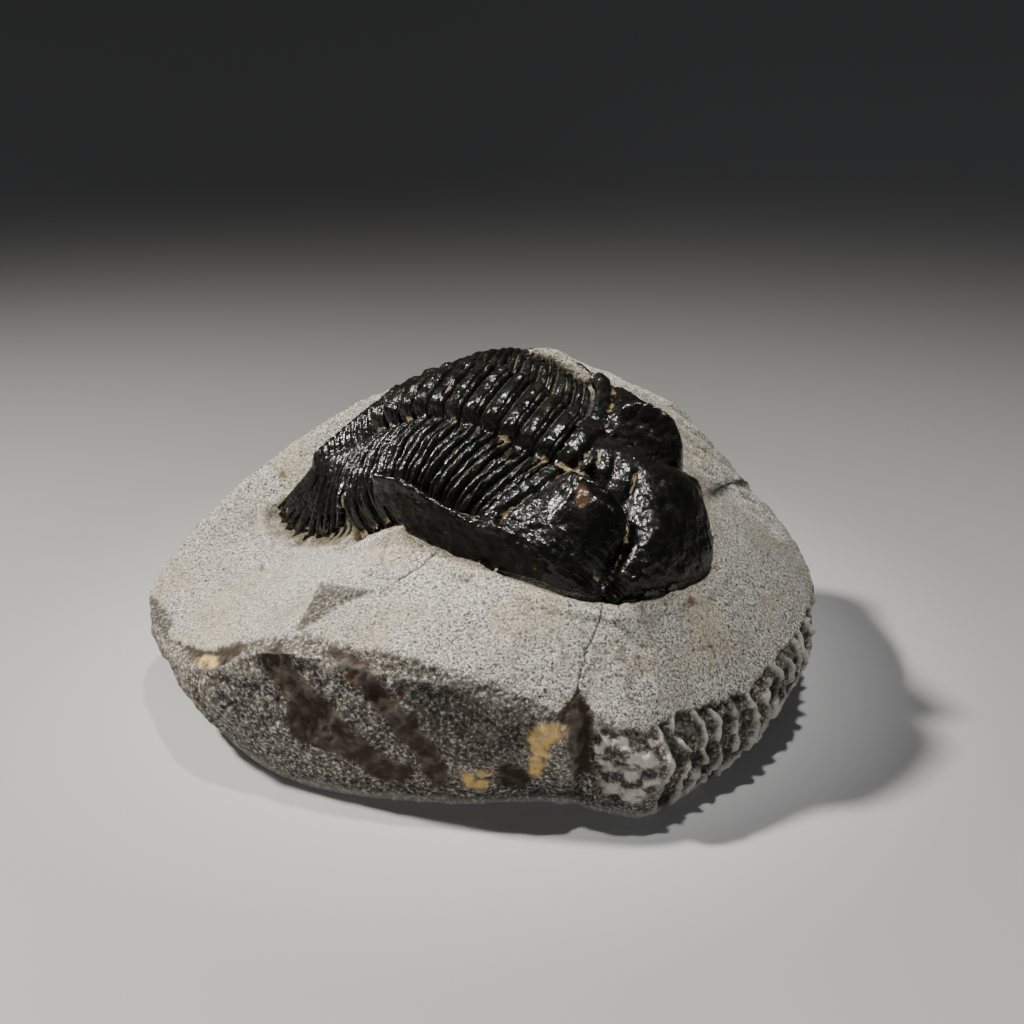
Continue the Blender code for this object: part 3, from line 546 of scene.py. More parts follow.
segments = [
    plate(f"segment_{number:02d}", 20, 150, segment_shape(number), SEGMENT_THICKNESS)
    for number in range(1, SEGMENTS + 1)
]
print("segments:", len(segments), "with", len(segments[0].data.polygons), "faces each")

# %% [markdown]
# ## The tail shield
# The tail is one plate. Its ribs run out from a tapering axis and end in a fringe of flat spines. The sheet's
# outer edge is drawn in between the ribs, which leaves the spines standing as a comb.

# %% Tail shield
# Tips of the fringe from the first rib to the middle of the rear: s, t and h
FRINGE = np.array((
    (11.7, 17.3, -12.9), (8.0, 15.7, -12.1), (4.4, 14.0, -11.3), (0.2, 12.2, -10.7), (-4.2, 10.0, -10.0),
    (-10.8, 6.2, -7.6), (-13.3, 3.1, -5.4), (-14.6, 0.0, -4.1),
))
RAYS = 11.5
# Where along a rib the fringe begins, and how much of the sheet the axis takes on each side
SPINE_START, TAIL_AXIS_SHARE = 0.72, 0.1
# From this station back the axis rounds off to its blunt end
AXIS_CLOSES = 2.0


def tail_shape(u, v):
    """u runs across the sheet and v from the rear ray (0) to the front edge (1)."""
    r = 1.0 - v
    ridge = 0.5 - 0.5 * np.cos(2.0 * np.pi * r * RAYS)
    # Each ray starts on the edge of the axis, at (s0, t0)
    s0 = blend(THORAX_START - SEAM, AXIS_END, r)
    closing = np.sqrt(limited(1.0 - ((AXIS_CLOSES - s0) / (AXIS_CLOSES - AXIS_END)) ** 2))
    t0 = axis_half(s0) * np.where(s0 < AXIS_CLOSES, closing, 1.0)
    base = np.interp(s0, (AXIS_END, AXIS_CLOSES, THORAX_START), (-2.2, -2.3, -AXIS_RISE))
    q, beyond = split_sheet(u, TAIL_AXIS_SHARE)
    longer = 1.0 - 0.16 * (0.5 + 0.5 * streaks(np.round(r * RAYS) * 1.9, 0.0, 2.0))
    reach = blend(SPINE_START, longer, limited(1.6 * ridge - 0.6) ** 0.9)
    x = beyond * np.minimum(reach, 1.0)
    # and bends towards its tip on the fringe
    at = np.linspace(0.0, 1.0, len(FRINGE))
    tip = [np.interp(r, at, FRINGE[:, k]) for k in range(3)]
    bend_s = s0 - 0.25 * (s0 - tip[0])
    bend_t = t0 + 0.62 * (tip[1] - t0)
    s = (1 - x) ** 2 * s0 + 2 * x * (1 - x) * bend_s + x * x * tip[0]
    t = (1 - x) ** 2 * t0 + 2 * x * (1 - x) * bend_t + x * x * tip[1]
    h = base + (tip[2] - base) * x ** np.interp(r, (0.0, 0.6, 1.0), (2.2, 1.5, 0.9))
    # The first rays still follow the last segment
    own = smooth(0.0, 0.25, r)
    line_s = swept(s0, x)
    line_t = t0 + (body_half(s0) - t0) * x
    line_h = thorax_height(s0, line_t)
    s, t, h = blend(line_s, s, own), blend(line_t, t, own), blend(line_h, h, own)
    fade = smooth(0.0, np.interp(r, (0.2, 0.6), (0.15, 0.55)), x) * (1.0 - 0.5 * smooth(0.85, 1.0, x))
    h = h - 0.85 * (1.0 - ridge) ** 1.3 * fade
    # The axis between them is a low ringed cone
    crown = np.interp(s0, (AXIS_END, 0.0, 2.0, 9.0, 16.0), (0.2, 1.1, 1.5, 2.3, AXIS_RISE))
    arch = np.interp(s0, (2.0, 16.0), (0.0, 0.35))
    top = base + crown * (arch * dome(q, 2.2) + (1.0 - arch) * (1.0 - q ** 2) ** 1.3)
    top = top - 0.5 * (1.0 - ridge) * dome(q, 4.0) * smooth(-1.0, 6.0, s0)
    inside = beyond <= 0.0
    # Wrinkles along the ribs and over the axis
    h = h + 0.22 * streaks(r * 60.0, x * 5.0) * smooth(0.05, 0.2, x) * (1.0 - smooth(0.9, 1.0, x))
    h = h + 0.3 * streaks(r * 18.0, x * 3.0, 6.0) * smooth(0.02, 0.15, x)
    top = top + 0.09 * streaks(s0 / 0.8, q * t0 * np.sign(u - 0.5) / 1.1)
    return place(
        np.where(inside, s0, s),
        np.sign(u - 0.5) * np.where(inside, q * t0, t),
        np.where(inside, top, h),
    )


tail = plate("tail_shield", 276, 150, tail_shape, TAIL_THICKNESS)
print("tail shield faces:", len(tail.data.polygons))

# %% [markdown]
# ## The head shield
# The head is the most modelled plate: a swollen front lobe, three small side lobes behind it, a cone-shaped
# eye mound on each cheek, and a steep border that runs back into a blade-like spine. It is shaped as rings
# round a middle point. The spines are separate lofts, and a voxel remesh melts them into the border.

# %% Head shape
HEAD_CENTRE, HEAD_VOXEL = 62.0, 0.33
# The crest of the eye runs along the cheek in a shallow arc about this place
EYE_S, EYE_T, EYE_ARC, EYE_LENGTH = 60.8, 11.8, 0.04, 4.6
# Furrows across the glabella, from the neck forward, and the knobs between them as (s, t)
NECK_FURROW, SIDE_FURROWS = 55.9, (58.6, 61.3, 65.2)
KNOBS = ((57.0, 4.4), (60.0, 4.4), (63.2, 5.0))
# Distance of the rear furrow from the rear edge, and of the border furrow from the margin
REAR_FURROW, BORDER_FURROW = 3.0, 2.6


def eye_mound(s, t):
    """Height of the cone that carries the eye. On the right its front runs on gently to the furrow."""
    along = s - EYE_S
    crest = 2.9 - 0.045 * along ** 2 - np.where((t > 0.0) & (along > 0.0), 0.0002, 0.0012) * along ** 4
    straighter = 1.0 - 0.6 * smooth(0.0, 4.0, along) * (t > 0.0)
    across = np.abs(t) - (EYE_T - EYE_ARC * (along - 0.2) ** 2 * straighter)
    outside = 0.86 * (np.sqrt(across ** 2 + 2.2) - np.sqrt(2.2))
    steep = 1.7 - 0.8 * smooth(1.0, 6.0, along) * (t > 0.0)
    inside = steep * (np.sqrt(across ** 2 + 0.8) - np.sqrt(0.8))
    return crest - np.where(across > 0.0, outside, inside)


def softer_max(a, b, radius):
    return 0.5 * (a + b + np.sqrt((a - b) ** 2 + radius ** 2))


def head_height(s, t):
    """The vault of the head, with the eyes and the lobes of the glabella on it, less the furrows."""
    side = np.abs(t)
    wide, low = margin_of(s, t)
    half = np.where(t < 0.0, np.interp(s, GLABELLA_AT, GLABELLA_HALF), np.interp(s, GLABELLA_AT, LOBE_RIGHT))
    half = np.minimum(half, wide - 0.3 * smooth(0.0, 3.0, wide))
    # The vault, hollow between the glabella and the eye, with the eye mound melted into it
    vault = np.interp(s, CROWN_AT, CROWN)
    crown = np.maximum(vault, low)
    crown = crown - 1.6 * dent(side - 8.2, 1.4) * smooth(56.0, 59.0, s) * (1.0 - smooth(63.0, 66.0, s))
    beside = smooth(half - 0.8, half + 0.8, side)
    crown = blend(crown, softer_max(crown, eye_mound(s, t), 0.7), beside)
    # It falls to the margin, steeply on the cheeks and more gently in front
    h = blend(low, crown, dome(side / wide, np.interp(s, (58.0, 68.0), (3.8, 2.7))))
    # The glabella stands on the vault
    rise = np.interp(s, GLABELLA_AT, GLABELLA_TOP) - vault
    h = h + np.maximum(rise, 0.0) * dome(side / half, np.where(t < 0.0, 1.9, 2.3))
    # A furrow runs round it, and takes all of the strip where the lobe comes close to the margin
    narrow = smooth(3.2, 1.6, wide - half) * (t > 0.0)
    off = (side - half) * np.where(side > half, 1.0 - narrow, 1.0)
    to_edge = np.maximum(0.4 + 0.6 * smooth(0.0, 2.0, wide - side), narrow)
    h = h - 1.0 * dent(off, 0.6) * (1.0 - smooth(73.0, 76.0, s)) * to_edge
    # Furrows across it, with knobs between them
    h = h - 1.1 * dent(s - NECK_FURROW, 0.6) * (1.0 - smooth(4.8, 6.0, side))
    lean = 0.45 * (half - side)
    first, second, third = (s - at for at in SIDE_FURROWS)
    cuts = dent(first + lean, 0.45) + dent(second + lean, 0.45) + 1.3 * dent(third + 0.8 * lean, 0.6)
    h = h - 1.1 * cuts * smooth(1.2, 3.2, side) * (1.0 - smooth(0.0, 0.8, side - half))
    for at_s, at_t in KNOBS:
        h = h + 0.45 * dent(s - at_s, 1.1) * dent(side - at_t, 1.2)
    # The crest of the eye, with a groove on each side of it
    from_crest = side - (EYE_T - EYE_ARC * (s - EYE_S) ** 2)
    along_crest = np.exp(-((s - EYE_S) / EYE_LENGTH) ** 4)
    h = h + along_crest * (0.6 * dent(from_crest + 0.3, 0.6) - 0.6 * dent(from_crest - 0.9, 0.4))
    h = h - 0.6 * along_crest * dent(from_crest + 1.8, 0.6)
    # The furrow along the rear edge, and the one inside the border
    behind = s - swept(THORAX_END, flank_x(s, t)) - REAR_FURROW
    h = h - 1.1 * dent(behind, 0.6) * smooth(5.6, 7.4, side)
    border = dent(wide - side - BORDER_FURROW, 0.7) * (1.0 - smooth(74.0, 78.0, s))
    return h - 0.45 * border * (1.0 - dent(side - half, 2.5))


def head_shape(u, v):
    """u runs round the outline from the middle of the rear edge, v from the middle point to the edge."""
    across = np.linspace(0.0, 20.6, 60)
    x = np.clip((across - AXIS_HALF[-1]) / (HALF_WIDTH[-1] - AXIS_HALF[-1]), 0.0, 1.05)
    rear = np.stack([swept(THORAX_END + SEAM, x), across], -1)
    right = np.concatenate([rear, HEAD_MARGIN[:, :2]])
    left = right[1:-1][::-1] * (1.0, -1.0)
    left[:, 1] = -np.minimum(-left[:, 1], np.interp(left[:, 0], LEFT_EDGE_AT, LEFT_EDGE))
    outline = np.concatenate([right, left, right[:1]])
    length = np.concatenate([[0.0], np.cumsum(np.linalg.norm(np.diff(outline, axis=0), axis=1))])
    s = blend(HEAD_CENTRE, np.interp(u * length[-1], length, outline[:, 0]), v)
    t = np.interp(u * length[-1], length, outline[:, 1]) * v
    return place(s, t, head_height(s, t))


head = plate("head_shield", 110, 360, head_shape, HEAD_THICKNESS)

# %% Cheek spines
# Stations along a spine: s, t of its middle, thickness, then h of its upper and lower edge
BLADE = np.array((
    (24.9, 20.4, 0.7, -5.6, -8.4), (26.6, 20.6, 1.1, -2.9, -11.6), (30.0, 21.0, 1.4, -3.6, -13.2),
    (35.0, 21.4, 1.6, -4.7, -13.9), (40.3, 21.7, 1.7, -5.6, -14.0), (45.9, 21.7, 1.8, -5.7, -13.6),
    (50.1, 21.0, 3.0, -4.9, -12.9), (54.5, 20.7, 2.4, -5.4, -11.8), (58.0, 20.2, 1.6, -6.4, -10.4),
))
# Both ends of a spine close over this share of its rows
BLADE_END = 0.02
LEFT_BLADE_TOP = (-8.6, -8.4, -8.8, -9.0, -8.9, -8.3, -7.3, -6.5, -7.0)


def blade_shape(side):
    top = BLADE[:, 3] if side > 0 else np.array(LEFT_BLADE_TOP)

    def shape(u, v):
        along = limited((1.0 + 2.0 * BLADE_END) * v - BLADE_END)
        s = blend(BLADE[0, 0], BLADE[-1, 0], along)
        close = np.sqrt(limited(np.minimum(v, 1.0 - v) / BLADE_END))
        middle_t, thick, low = [np.interp(s, BLADE[:, 0], BLADE[:, k]) for k in (1, 2, 4)]
        high = np.interp(s, BLADE[:, 0], top)
        turn = 2.0 * np.pi * u
        across = np.sign(np.cos(turn)) * np.abs(np.cos(turn)) ** 0.7
        upward = np.sign(np.sin(turn)) * np.abs(np.sin(turn)) ** 0.9
        t = middle_t + 0.5 * thick * across * close
        return place(s, side * t, 0.5 * (high + low) + 0.5 * (high - low) * upward * close)

    return shape


blades = [sheet(f"spine_{side}", along=90, across=48, shape=blade_shape(side)) for side in (1, -1)]
for blade in blades:
    close_seams(blade)
choose(head)
for blade in blades:
    blade.select_set(True)
bpy.ops.object.join()
finish_with(head, "REMESH", mode="VOXEL", voxel_size=HEAD_VOXEL * MM)
finish_with(head, "SMOOTH", factor=0.5, iterations=3)
print("head shield faces:", len(head.data.polygons))

# %% Wrinkles of the head
points = points_of(head)
s, t, h = measures_of(points).T
lower = smooth(3.0, 7.0, margin_of(s, t)[0] - np.abs(t))
cheek = smooth(8.5, 10.5, np.abs(t)) * smooth(61.0, 58.0, s) * lower
down = np.abs(t) - h
wrinkles = 0.26 * streaks(s / 3.2, down / 0.8) + 0.14 * streaks(s / 1.4, down / 0.5, 9.0)
wrinkles = wrinkles * (1.0 - lower) + 0.28 * streaks(s / 0.85, np.abs(t) / 3.5, 4.0) * cheek
furrow_side = dent(np.abs(t) - np.interp(s, GLABELLA_AT, LOBE_RIGHT), 2.2) * (t > 0.0)
wrinkles += 0.2 * streaks(s / 4.0, (t - h) / 0.7, 12.0) * furrow_side
wrinkles += 0.12 * grain(points, 0.9) + 0.2 * grain(points, 2.4, 5.0)
move_points(head, points + normals_of(head) * wrinkles[:, None])
print("wrinkles of the head reach", round(float(np.abs(wrinkles).max()), 2), "mm")

# %% [markdown]
# ## The block
# The block is one stone, and it holds every plate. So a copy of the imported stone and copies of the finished
# plates are melted into one skin. Where a plate lies, the skin is then drawn in, so that the rock fills the
# shell from below and meets it with no gap. Between the body segments this leaves a thin line of rock.

# %% Block of stone
BLOCK_VOXEL = 0.5
plates = [*segments, tail, head]
copies = []
for source in [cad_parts["matrix"], *plates]:
    copy = bpy.data.objects.new("copy", source.data.copy())
    bpy.context.scene.collection.objects.link(copy)
    copies.append(copy)
close_seams(copies[0], 0.001)
choose(copies[0])
for copy in copies:
    copy.select_set(True)
bpy.ops.object.join()
finish_with(bpy.context.object, "REMESH", mode="VOXEL", voxel_size=BLOCK_VOXEL * MM)
edit_faces(bpy.context.object)
bpy.ops.mesh.separate(type="LOOSE")
bpy.ops.object.mode_set(mode="OBJECT")
loose = sorted(bpy.context.selected_objects, key=lambda part: len(part.data.vertices))
block = loose.pop()
for part in loose:
    bpy.data.objects.remove(part)
block.name = block.data.name = "limestone_block"
print("block faces:", len(block.data.polygons), "closed hollows removed:", len(loose))

# %% Draw the skin in under the shell
FAR_FROM_SHELL, NEAR_SHELL = 4.0, 3.9
BANK_HEIGHT, BANK_ROUNDS = 0.45, 14
DRAWN_IN = 0.65


def distance_to_shell(points):
    """Distance to the nearest plate in mm, at most FAR_FROM_SHELL."""
    far = np.full(len(points), FAR_FROM_SHELL)
    for plate in plates:
        corners = points_of(plate)
        tree = BVHTree.FromPolygons(corners, [polygon.vertices for polygon in plate.data.polygons])
        low, high = corners.min(axis=0) - FAR_FROM_SHELL, corners.max(axis=0) + FAR_FROM_SHELL
        for number in np.flatnonzero(((points > low) & (points < high)).all(axis=1)):
            found = tree.find_nearest(points[number], FAR_FROM_SHELL)[3]
            if found is not None:
                far[number] = min(far[number], found)
    return far


def behind_blade(s, t):
    """1 on the strip of rock between the tips of the ribs and the right spine."""
    return smooth(15.5, 17.0, t) * smooth(22.0, 20.5, t) * smooth(24.0, 28.0, s) * smooth(54.0, 52.0, s)


points = points_of(block)
distance = distance_to_shell(points)
under_shell = 1.0 - smooth(0.2, 0.7, distance)
near = distance < NEAR_SHELL
s, t, h = measures_of(points[near]).T
strip = np.zeros(len(points))
strip[near] = behind_blade(s, t)
# Fine rock is left banked against the lower border of the animal, with no sharp step in it
banked = smooth(0.6, 1.1, distance) * smooth(NEAR_SHELL, 2.6, distance)
points = points + (softened(block, points, BANK_ROUNDS) - points) * (0.85 * banked)[:, None]
raised = BANK_HEIGHT * banked * (1.0 - strip) - DRAWN_IN * under_shell
move_points(block, points + normals_of(block) * raised[:, None])
print("points under the shell:", int((under_shell > 0.5).sum()))

# %% [markdown]
# ## Cracks
# Three hairline cracks cross the worked top, and a shallow groove runs down beside the tail. They are
# thinner than the faces of the skin, so the faces beside them are cut into sixteen first. Then each line is
# pressed in.

# %% Finer faces beside the cracks
CRACKS = (
    ((437, 553), (433, 556), (420, 567), (403, 577), (389, 586), (380, 593)),
    ((603, 600), (601, 616), (594, 636), (586, 650), (585, 664), (579, 675), (578, 689)),
    ((715, 492), (728, 484), (742, 482), (754, 474), (766, 470)),
)
GROOVE = ((390, 530), (386, 545), (382, 560), (387, 572))
# Faces are cut finer within this many pixels of a line
FINE_WITHIN = 6.0


def seen(normal):
    """1 where the surface faces the photograph's camera."""
    return smooth(0.05, 0.2, normal @ back)


def pixels_of(points):
    return unshifted(points) + shift


at = pixels_of(vectors(block.data.polygons, "center") / MM)
facing = vectors(block.data.polygons, "normal") @ back
near = np.min([distance_to(at, line) for line in (*CRACKS, GROOVE)], axis=0)
wanted = (near < FINE_WITHIN) & (facing > 0.05)
edit_faces(block, "DESELECT")
bpy.ops.mesh.select_mode(type="FACE")
bpy.ops.object.mode_set(mode="OBJECT")
block.data.polygons.foreach_set("select", wanted)
bpy.ops.object.mode_set(mode="EDIT")
bpy.ops.mesh.subdivide(number_cuts=3)
bpy.ops.mesh.select_all(action="SELECT")
bpy.ops.mesh.quads_convert_to_tris()
bpy.ops.object.mode_set(mode="OBJECT")
print("faces cut finer:", int(wanted.sum()), "triangles now:", len(block.data.polygons))

# %% [markdown]
# ## Worked top and broken sides
# The top was worn back with a fine tool: it is even, with small lumps. Below the rim the rock is broken, so
# its lumps are coarser. On the right a toothed chisel left upright ridges about 3.5 mm apart.

# %% Worked top and broken sides
# The rim between top and sides: angle in degrees, radius and height, as in the solid model
RIM = np.array((
    (-176.6, 51.1, 15.4), (-162.2, 49.0, 15.4), (-149.9, 47.9, 18.2), (-131.9, 43.7, 24),
    (-119.1, 41.2, 24.6), (-99.1, 40.5, 23.3), (-86.2, 41.1, 20.9), (-74.2, 43.7, 16.8),
    (-66.9, 45.9, 15), (-59.4, 48.8, 12.6), (-51.2, 48.1, 13.4), (-41.5, 48.3, 13.6),
    (-27.7, 49.5, 14.8), (-15.0, 50.1, 15.5), (-5.7, 50.4, 16.4), (4.5, 51.2, 16.8),
    (21.0, 50.2, 19.8), (28.5, 48.1, 23.1), (37.7, 45.8, 29.1), (44.4, 44.3, 32.6),
    (49.1, 43.7, 33.6), (63.4, 40.2, 34.6), (77.6, 37.4, 35.8), (96.4, 36.7, 36.3),
    (109.1, 38.1, 34.7), (120.1, 39.9, 32.5), (130.9, 42.3, 28.6), (144.8, 45.1, 24.1),
    (156.1, 46.9, 20.9), (170.9, 50.4, 16.5),
))
# The chunk of rough rock at the front corner, in the photograph
CORNER = [(596, 718), (655, 732), (662, 790), (628, 806), (600, 796), (592, 760)]
# The edge between top and sides as the photograph shows it, from left to right
EDGE = (
    (147, 600), (160, 622), (175, 640), (210, 650), (245, 640), (290, 635), (310, 633), (350, 648),
    (400, 655), (440, 668), (500, 685), (540, 705), (558, 712), (570, 700), (578, 689), (586, 702),
    (600, 718), (630, 731), (645, 735), (660, 722), (680, 712), (720, 700), (750, 690), (770, 665),
    (800, 630), (812, 600), (817, 570),
)
# Ridges of the toothed chisel, in degrees round the block, and marks of the finer tool on the back slope
CHISEL_FROM, CHISEL_STEP = -57.0, 4.2
TOOL_ACROSS, TOOL_STEP = (0.5, 0.45, 0.74), 1.7
CRACK_DEPTH, GROOVE_DEPTH = 0.22, 0.2
points = points_of(block)
normal = normals_of(block)
distance = distance_to_shell(points)
at = pixels_of(points)
front = seen(normal)
angle = np.degrees(np.arctan2(points[:, 1], points[:, 0]))
rim_radius = np.interp(angle, RIM[:, 0], RIM[:, 1], period=360.0)
rim_height = np.interp(angle, RIM[:, 0], RIM[:, 2], period=360.0)
lumps = grain(points, 3.0)
small = grain(points, 1.3, 5.0)
below = 0.7 * (np.hypot(points[:, 0], points[:, 1]) - rim_radius) + 0.7 * (rim_height - points[:, 2])
broken = smooth(-0.4, 0.5, below + 0.7 * lumps + 0.5 * small)
ragged_edge = at[:, 1] - np.interp(at[:, 0], *np.array(EDGE).T)
ragged_edge += 3.5 * small + 3.0 * grain(points, 0.7, 4.0) + 2.0 * lumps
broken = blend(broken, smooth(-1.5, 1.5, ragged_edge), front)
broken = np.maximum(broken, smooth(-0.3, -0.6, normal[:, 2]))
open_rock = smooth(0.5, 1.4, distance)
phase = np.pi * (angle - CHISEL_FROM + 2.4 * grain(points, 4.0, 7.0) + 0.5 * small) / CHISEL_STEP
ridge = np.abs(np.cos(phase)) ** 9 * smooth(-0.45, 0.1, grain(points, 2.6, 13.0))
chiselled = smooth(-58.5, -56.0, angle) * smooth(7.0, 4.0, angle) * broken
relief = 0.10 * small + 0.13 * lumps + 0.12 * grain(points, 0.8, 3.0)
tool_marks = 0.17 * np.sin(2.0 * np.pi * (points @ TOOL_ACROSS) / TOOL_STEP + 2.0 * lumps)
tool_marks *= smooth(5.0, 25.0, angle) * smooth(110.0, 85.0, angle)
rough = 0.3 * lumps + 0.25 * grain(points, 1.6, 9.0)
rough += 0.45 * grain(points, 7.0, 2.0) + 0.2 * grain(points, 0.8, 1.0)
corner = patch(at, CORNER, 5.0) * front
rough = rough * (1.0 + 0.9 * corner) + chiselled * (0.9 * ridge - 0.35)
press = (relief + tool_marks) * (1.0 - broken) + (rough - 0.3) * broken
crack = np.max([dent(distance_to(at, line), 1.0) for line in CRACKS], axis=0) * front
groove = dent(distance_to(at, GROOVE), 2.2) * front
press = open_rock * (press * smooth(0.1, 1.2, points[:, 2]) - CRACK_DEPTH * crack - GROOVE_DEPTH * groove)
move_points(block, inside_box(points + normal * press[:, None]))
print("share of the block that is broken rock:", round(float(broken.mean()), 2))

# %% [markdown]
# ## Stains, with painted shade and shadow
# Water carried iron and clay along the bedding: two brown bands and a rusty notch on the front face, with
# yellow patches beside them. Each stain is drawn as an outline in the frame with a ragged edge. Painted shade
# and painted shadow go into the same colours: on the right of the front face, in hollows, grooves and gaps,
# and beside the head.

# %% Paint the stains and the painted shade
BROWN = (
    [(257, 653), (277, 642), (297, 673), (330, 707), (363, 740), (383, 758), (420, 773), (400, 786),
     (377, 782), (363, 770), (330, 753), (293, 740), (283, 720), (287, 700), (263, 673)],
    [(323, 650), (340, 645), (363, 657), (383, 687), (407, 713), (430, 740), (447, 773), (445, 790),
     (423, 782), (417, 760), (397, 740), (377, 713), (360, 690), (343, 670)],
    [(578, 687), (593, 716), (590, 747), (594, 775), (573, 776), (567, 740), (563, 722), (553, 724),
     (560, 710)],
    [(180, 642), (205, 648), (225, 643), (249, 640), (240, 656), (215, 668), (195, 663)],
    [(497, 768), (530, 770), (528, 790), (500, 790)],
)
OCHRE = (
    [(527, 730), (548, 724), (566, 726), (567, 740), (551, 748), (541, 776), (529, 776)],
    [(460, 774), (493, 773), (486, 792), (465, 790)],
    [(196, 655), (215, 655), (212, 668), (198, 666)],
)
GREY = (
    [(320, 582), (347, 588), (377, 591), (343, 603), (320, 620), (295, 633), (307, 610)],
    [(145, 594), (158, 600), (174, 622), (165, 637), (150, 620)],
)
# Painted shade: the right half of the front face is darkened as if it lay in shade
SHADE = [
    (385, 655), (440, 668), (560, 712), (552, 724), (526, 730), (520, 772), (455, 765), (430, 735),
    (395, 690),
]
# The ridge of rock along the far side of the body
FAR_RIDGE = ((533, 344), (560, 352), (585, 375), (607, 406))
# Rusty spots: place in the frame and size
RUST = (
    (350, 678, 5), (400, 695, 4), (641, 608, 7), (692, 601, 6), (711, 646, 4), (283, 474, 6), (262, 567, 4),
    (630, 604, 4), (665, 603, 4),
)
# Dark smudges along the far crack: line in the frame, width and weight. The second, at the crack's end beside
# the head, is painted shade. The last one is round: painted shadow of the far eye on the rock
CRACK_SMUDGES_AND_SHADE = (
    (CRACKS[2], 5.0, 0.6), (((702, 498), (722, 488)), 7.0, 0.5), (((736, 485), (756, 478)), 3.5, 0.5),
)
HEAD_SHADOW_AT, HEAD_SHADOW_SIZE, HEAD_SHADOW_WEIGHT = (701, 484), 13.0, 0.4
pointing = np.stack([grain(points, 1.4, 11.0), grain(points, 1.4, 17.0)], -1)
ragged = at + 3.0 * pointing + 1.5 * np.stack([small, grain(points, 0.7, 2.0)], -1)


def outlines(shapes, soft):
    return np.max([patch(ragged, shape, soft) for shape in shapes], axis=0) * front


veins = smooth(0.42, 0.6, grain(points * (0.35, 0.6, 1.0), 7.0, 21.0)) * (1.0 - front) * broken
grey = np.max([patch(at + 1.2 * pointing, shape, 1.0) for shape in GREY], axis=0) * front
paint(block, "broken", np.maximum(broken, 0.9 * grey))
paint(block, "brown", np.maximum(outlines(BROWN, 3.0), veins))
paint(block, "ochre", outlines(OCHRE, 2.5) * smooth(-0.55, 0.1, grain(points, 1.1, 51.0)))
spots = [smooth(1.0, 0.3, np.linalg.norm(ragged - (x, y), axis=1) / size) for x, y, size in RUST]
paint(block, "rust", np.max(spots, axis=0) * front)
hollow = hollowness(block, 10)
crests = limited(-hollow / 0.25) * broken
chunk = grain(points, 2.2, 31.0) + 0.45 * small + 0.3 * grain(points, 0.7, 2.0)
blotches = smooth(0.0, 0.15, chunk) * corner
ledge = smooth(1.6, 0.9, points[:, 2] + 0.5 * lumps) * broken
pale = crests * (0.15 + 0.5 * chiselled) + 0.9 * ridge * chiselled + 1.0 * blotches + 0.45 * ledge
paint(block, "pale", limited(pale))
thin = np.max([dent(distance_to(at + 0.8 * pointing, line), 0.6) for line in CRACKS], axis=0) * front
thin = thin * smooth(-0.45, 0.15, grain(points, 1.5, 41.0))
shade = patch(ragged, SHADE, 6.0) * front
# Painted shade: the stone is darkened in its hollows
hollow_shade = np.clip(hollow / 0.5, 0.0, 0.4) * open_rock
# The far crack, with painted shade at its end and the painted shadow of the head beside it
far_crack_and_head_shadow = sum(weight * dent(distance_to(ragged, line), width) for line, width, weight in CRACK_SMUDGES_AND_SHADE)
from_head_shadow = np.linalg.norm(ragged - HEAD_SHADOW_AT, axis=1)
far_crack_and_head_shadow = (far_crack_and_head_shadow + HEAD_SHADOW_WEIGHT * dent(from_head_shadow, HEAD_SHADOW_SIZE)) * front
# Painted shade in the grooves between the chisel ridges
shade_between_ridges = 0.7 * chiselled * (1.0 - ridge) * smooth(-0.2, 0.3, lumps)
chunk_dark = 0.7 * corner * smooth(0.0, -0.25, chunk)
dark = 0.8 * thin + 0.3 * groove + 0.4 * shade + 0.5 * grey + hollow_shade
dark = dark + far_crack_and_head_shadow + shade_between_ridges + chunk_dark
beside = smooth(3.2, 0.6, distance + 0.8 * lumps + 0.6 * small)
# Brown clay clings to the rock round the tail and the ribs and behind the spine. The brown band before the
# head is painted shadow: the head's shadow on the rock
near = distance < NEAR_SHELL
s, t, h = measures_of(points[near]).T
tail_side, strip, head_shadow_band, gap_shade = np.zeros((4, len(points)))
beside_ribs = smooth(21.5, 20.0, np.abs(t)) * smooth(51.0, 48.0, s)
tail_side[near] = np.maximum(1.0 - 0.65 * smooth(12.0, 26.0, s), 0.85 * beside_ribs)
strip[near] = behind_blade(s, t)
far_ridge = smooth(9.0, 4.0, distance_to(ragged, FAR_RIDGE)) * front
far_ridge = far_ridge * smooth(-0.5, 0.1, grain(points, 1.6, 81.0))
# Painted shadow: a brown band on the rock just outside the head's border
head_shadow_band[near] = smooth(58.0, 64.0, s) * smooth(-8.0, -2.0, t)
head_shadow_band *= 0.45 * smooth(2.4, 0.9, distance + 0.4 * small)
clay_and_head_shadow = np.max([beside * tail_side, 0.95 * strip, 0.6 * far_ridge, head_shadow_band], axis=0)
paint(block, "clay_and_head_shadow", limited(clay_and_head_shadow))
# The line of rock between two segments is darkened with painted shade for most of its length, and left pale
# in patches
gap_shade[near] = smooth(18.2, 17.2, np.abs(t)) * smooth(14.5, 15.5, s) * smooth(56.0, 54.0, s)
gap_shade *= smooth(1.0, 0.7, distance)
dark = np.maximum(dark, gap_shade * (0.96 - 0.5 * smooth(0.0, 0.35, grain(points, 2.2, 71.0))))
# This value darkens the stone for its cracks, groove and grey patches, and also for painted shade and painted
# shadow
paint(block, "crack", limited(dark))
print("stained points:", int((outlines(BROWN, 3.0) > 0.5).sum()))

# %% [markdown]
# ## The stone
# The worked top is pale granular limestone with dark, tan and rusty specks. The broken sides are the same
# stone unworked: dark grey, with pale grains and brown stains.

# %% Limestone


def stained(layer, name, code, weight):
    """Lay a colour over the layer, as strongly as the points are painted with the named value."""
    amount = add_node(stone, "Attribute", {"attribute_name": name})
    share = add_node(stone, "Math", {"operation": "MULTIPLY"}, {0: (amount, "Fac")}, i1=weight)
    return mixed(stone, (share, 0), layer, code), 2


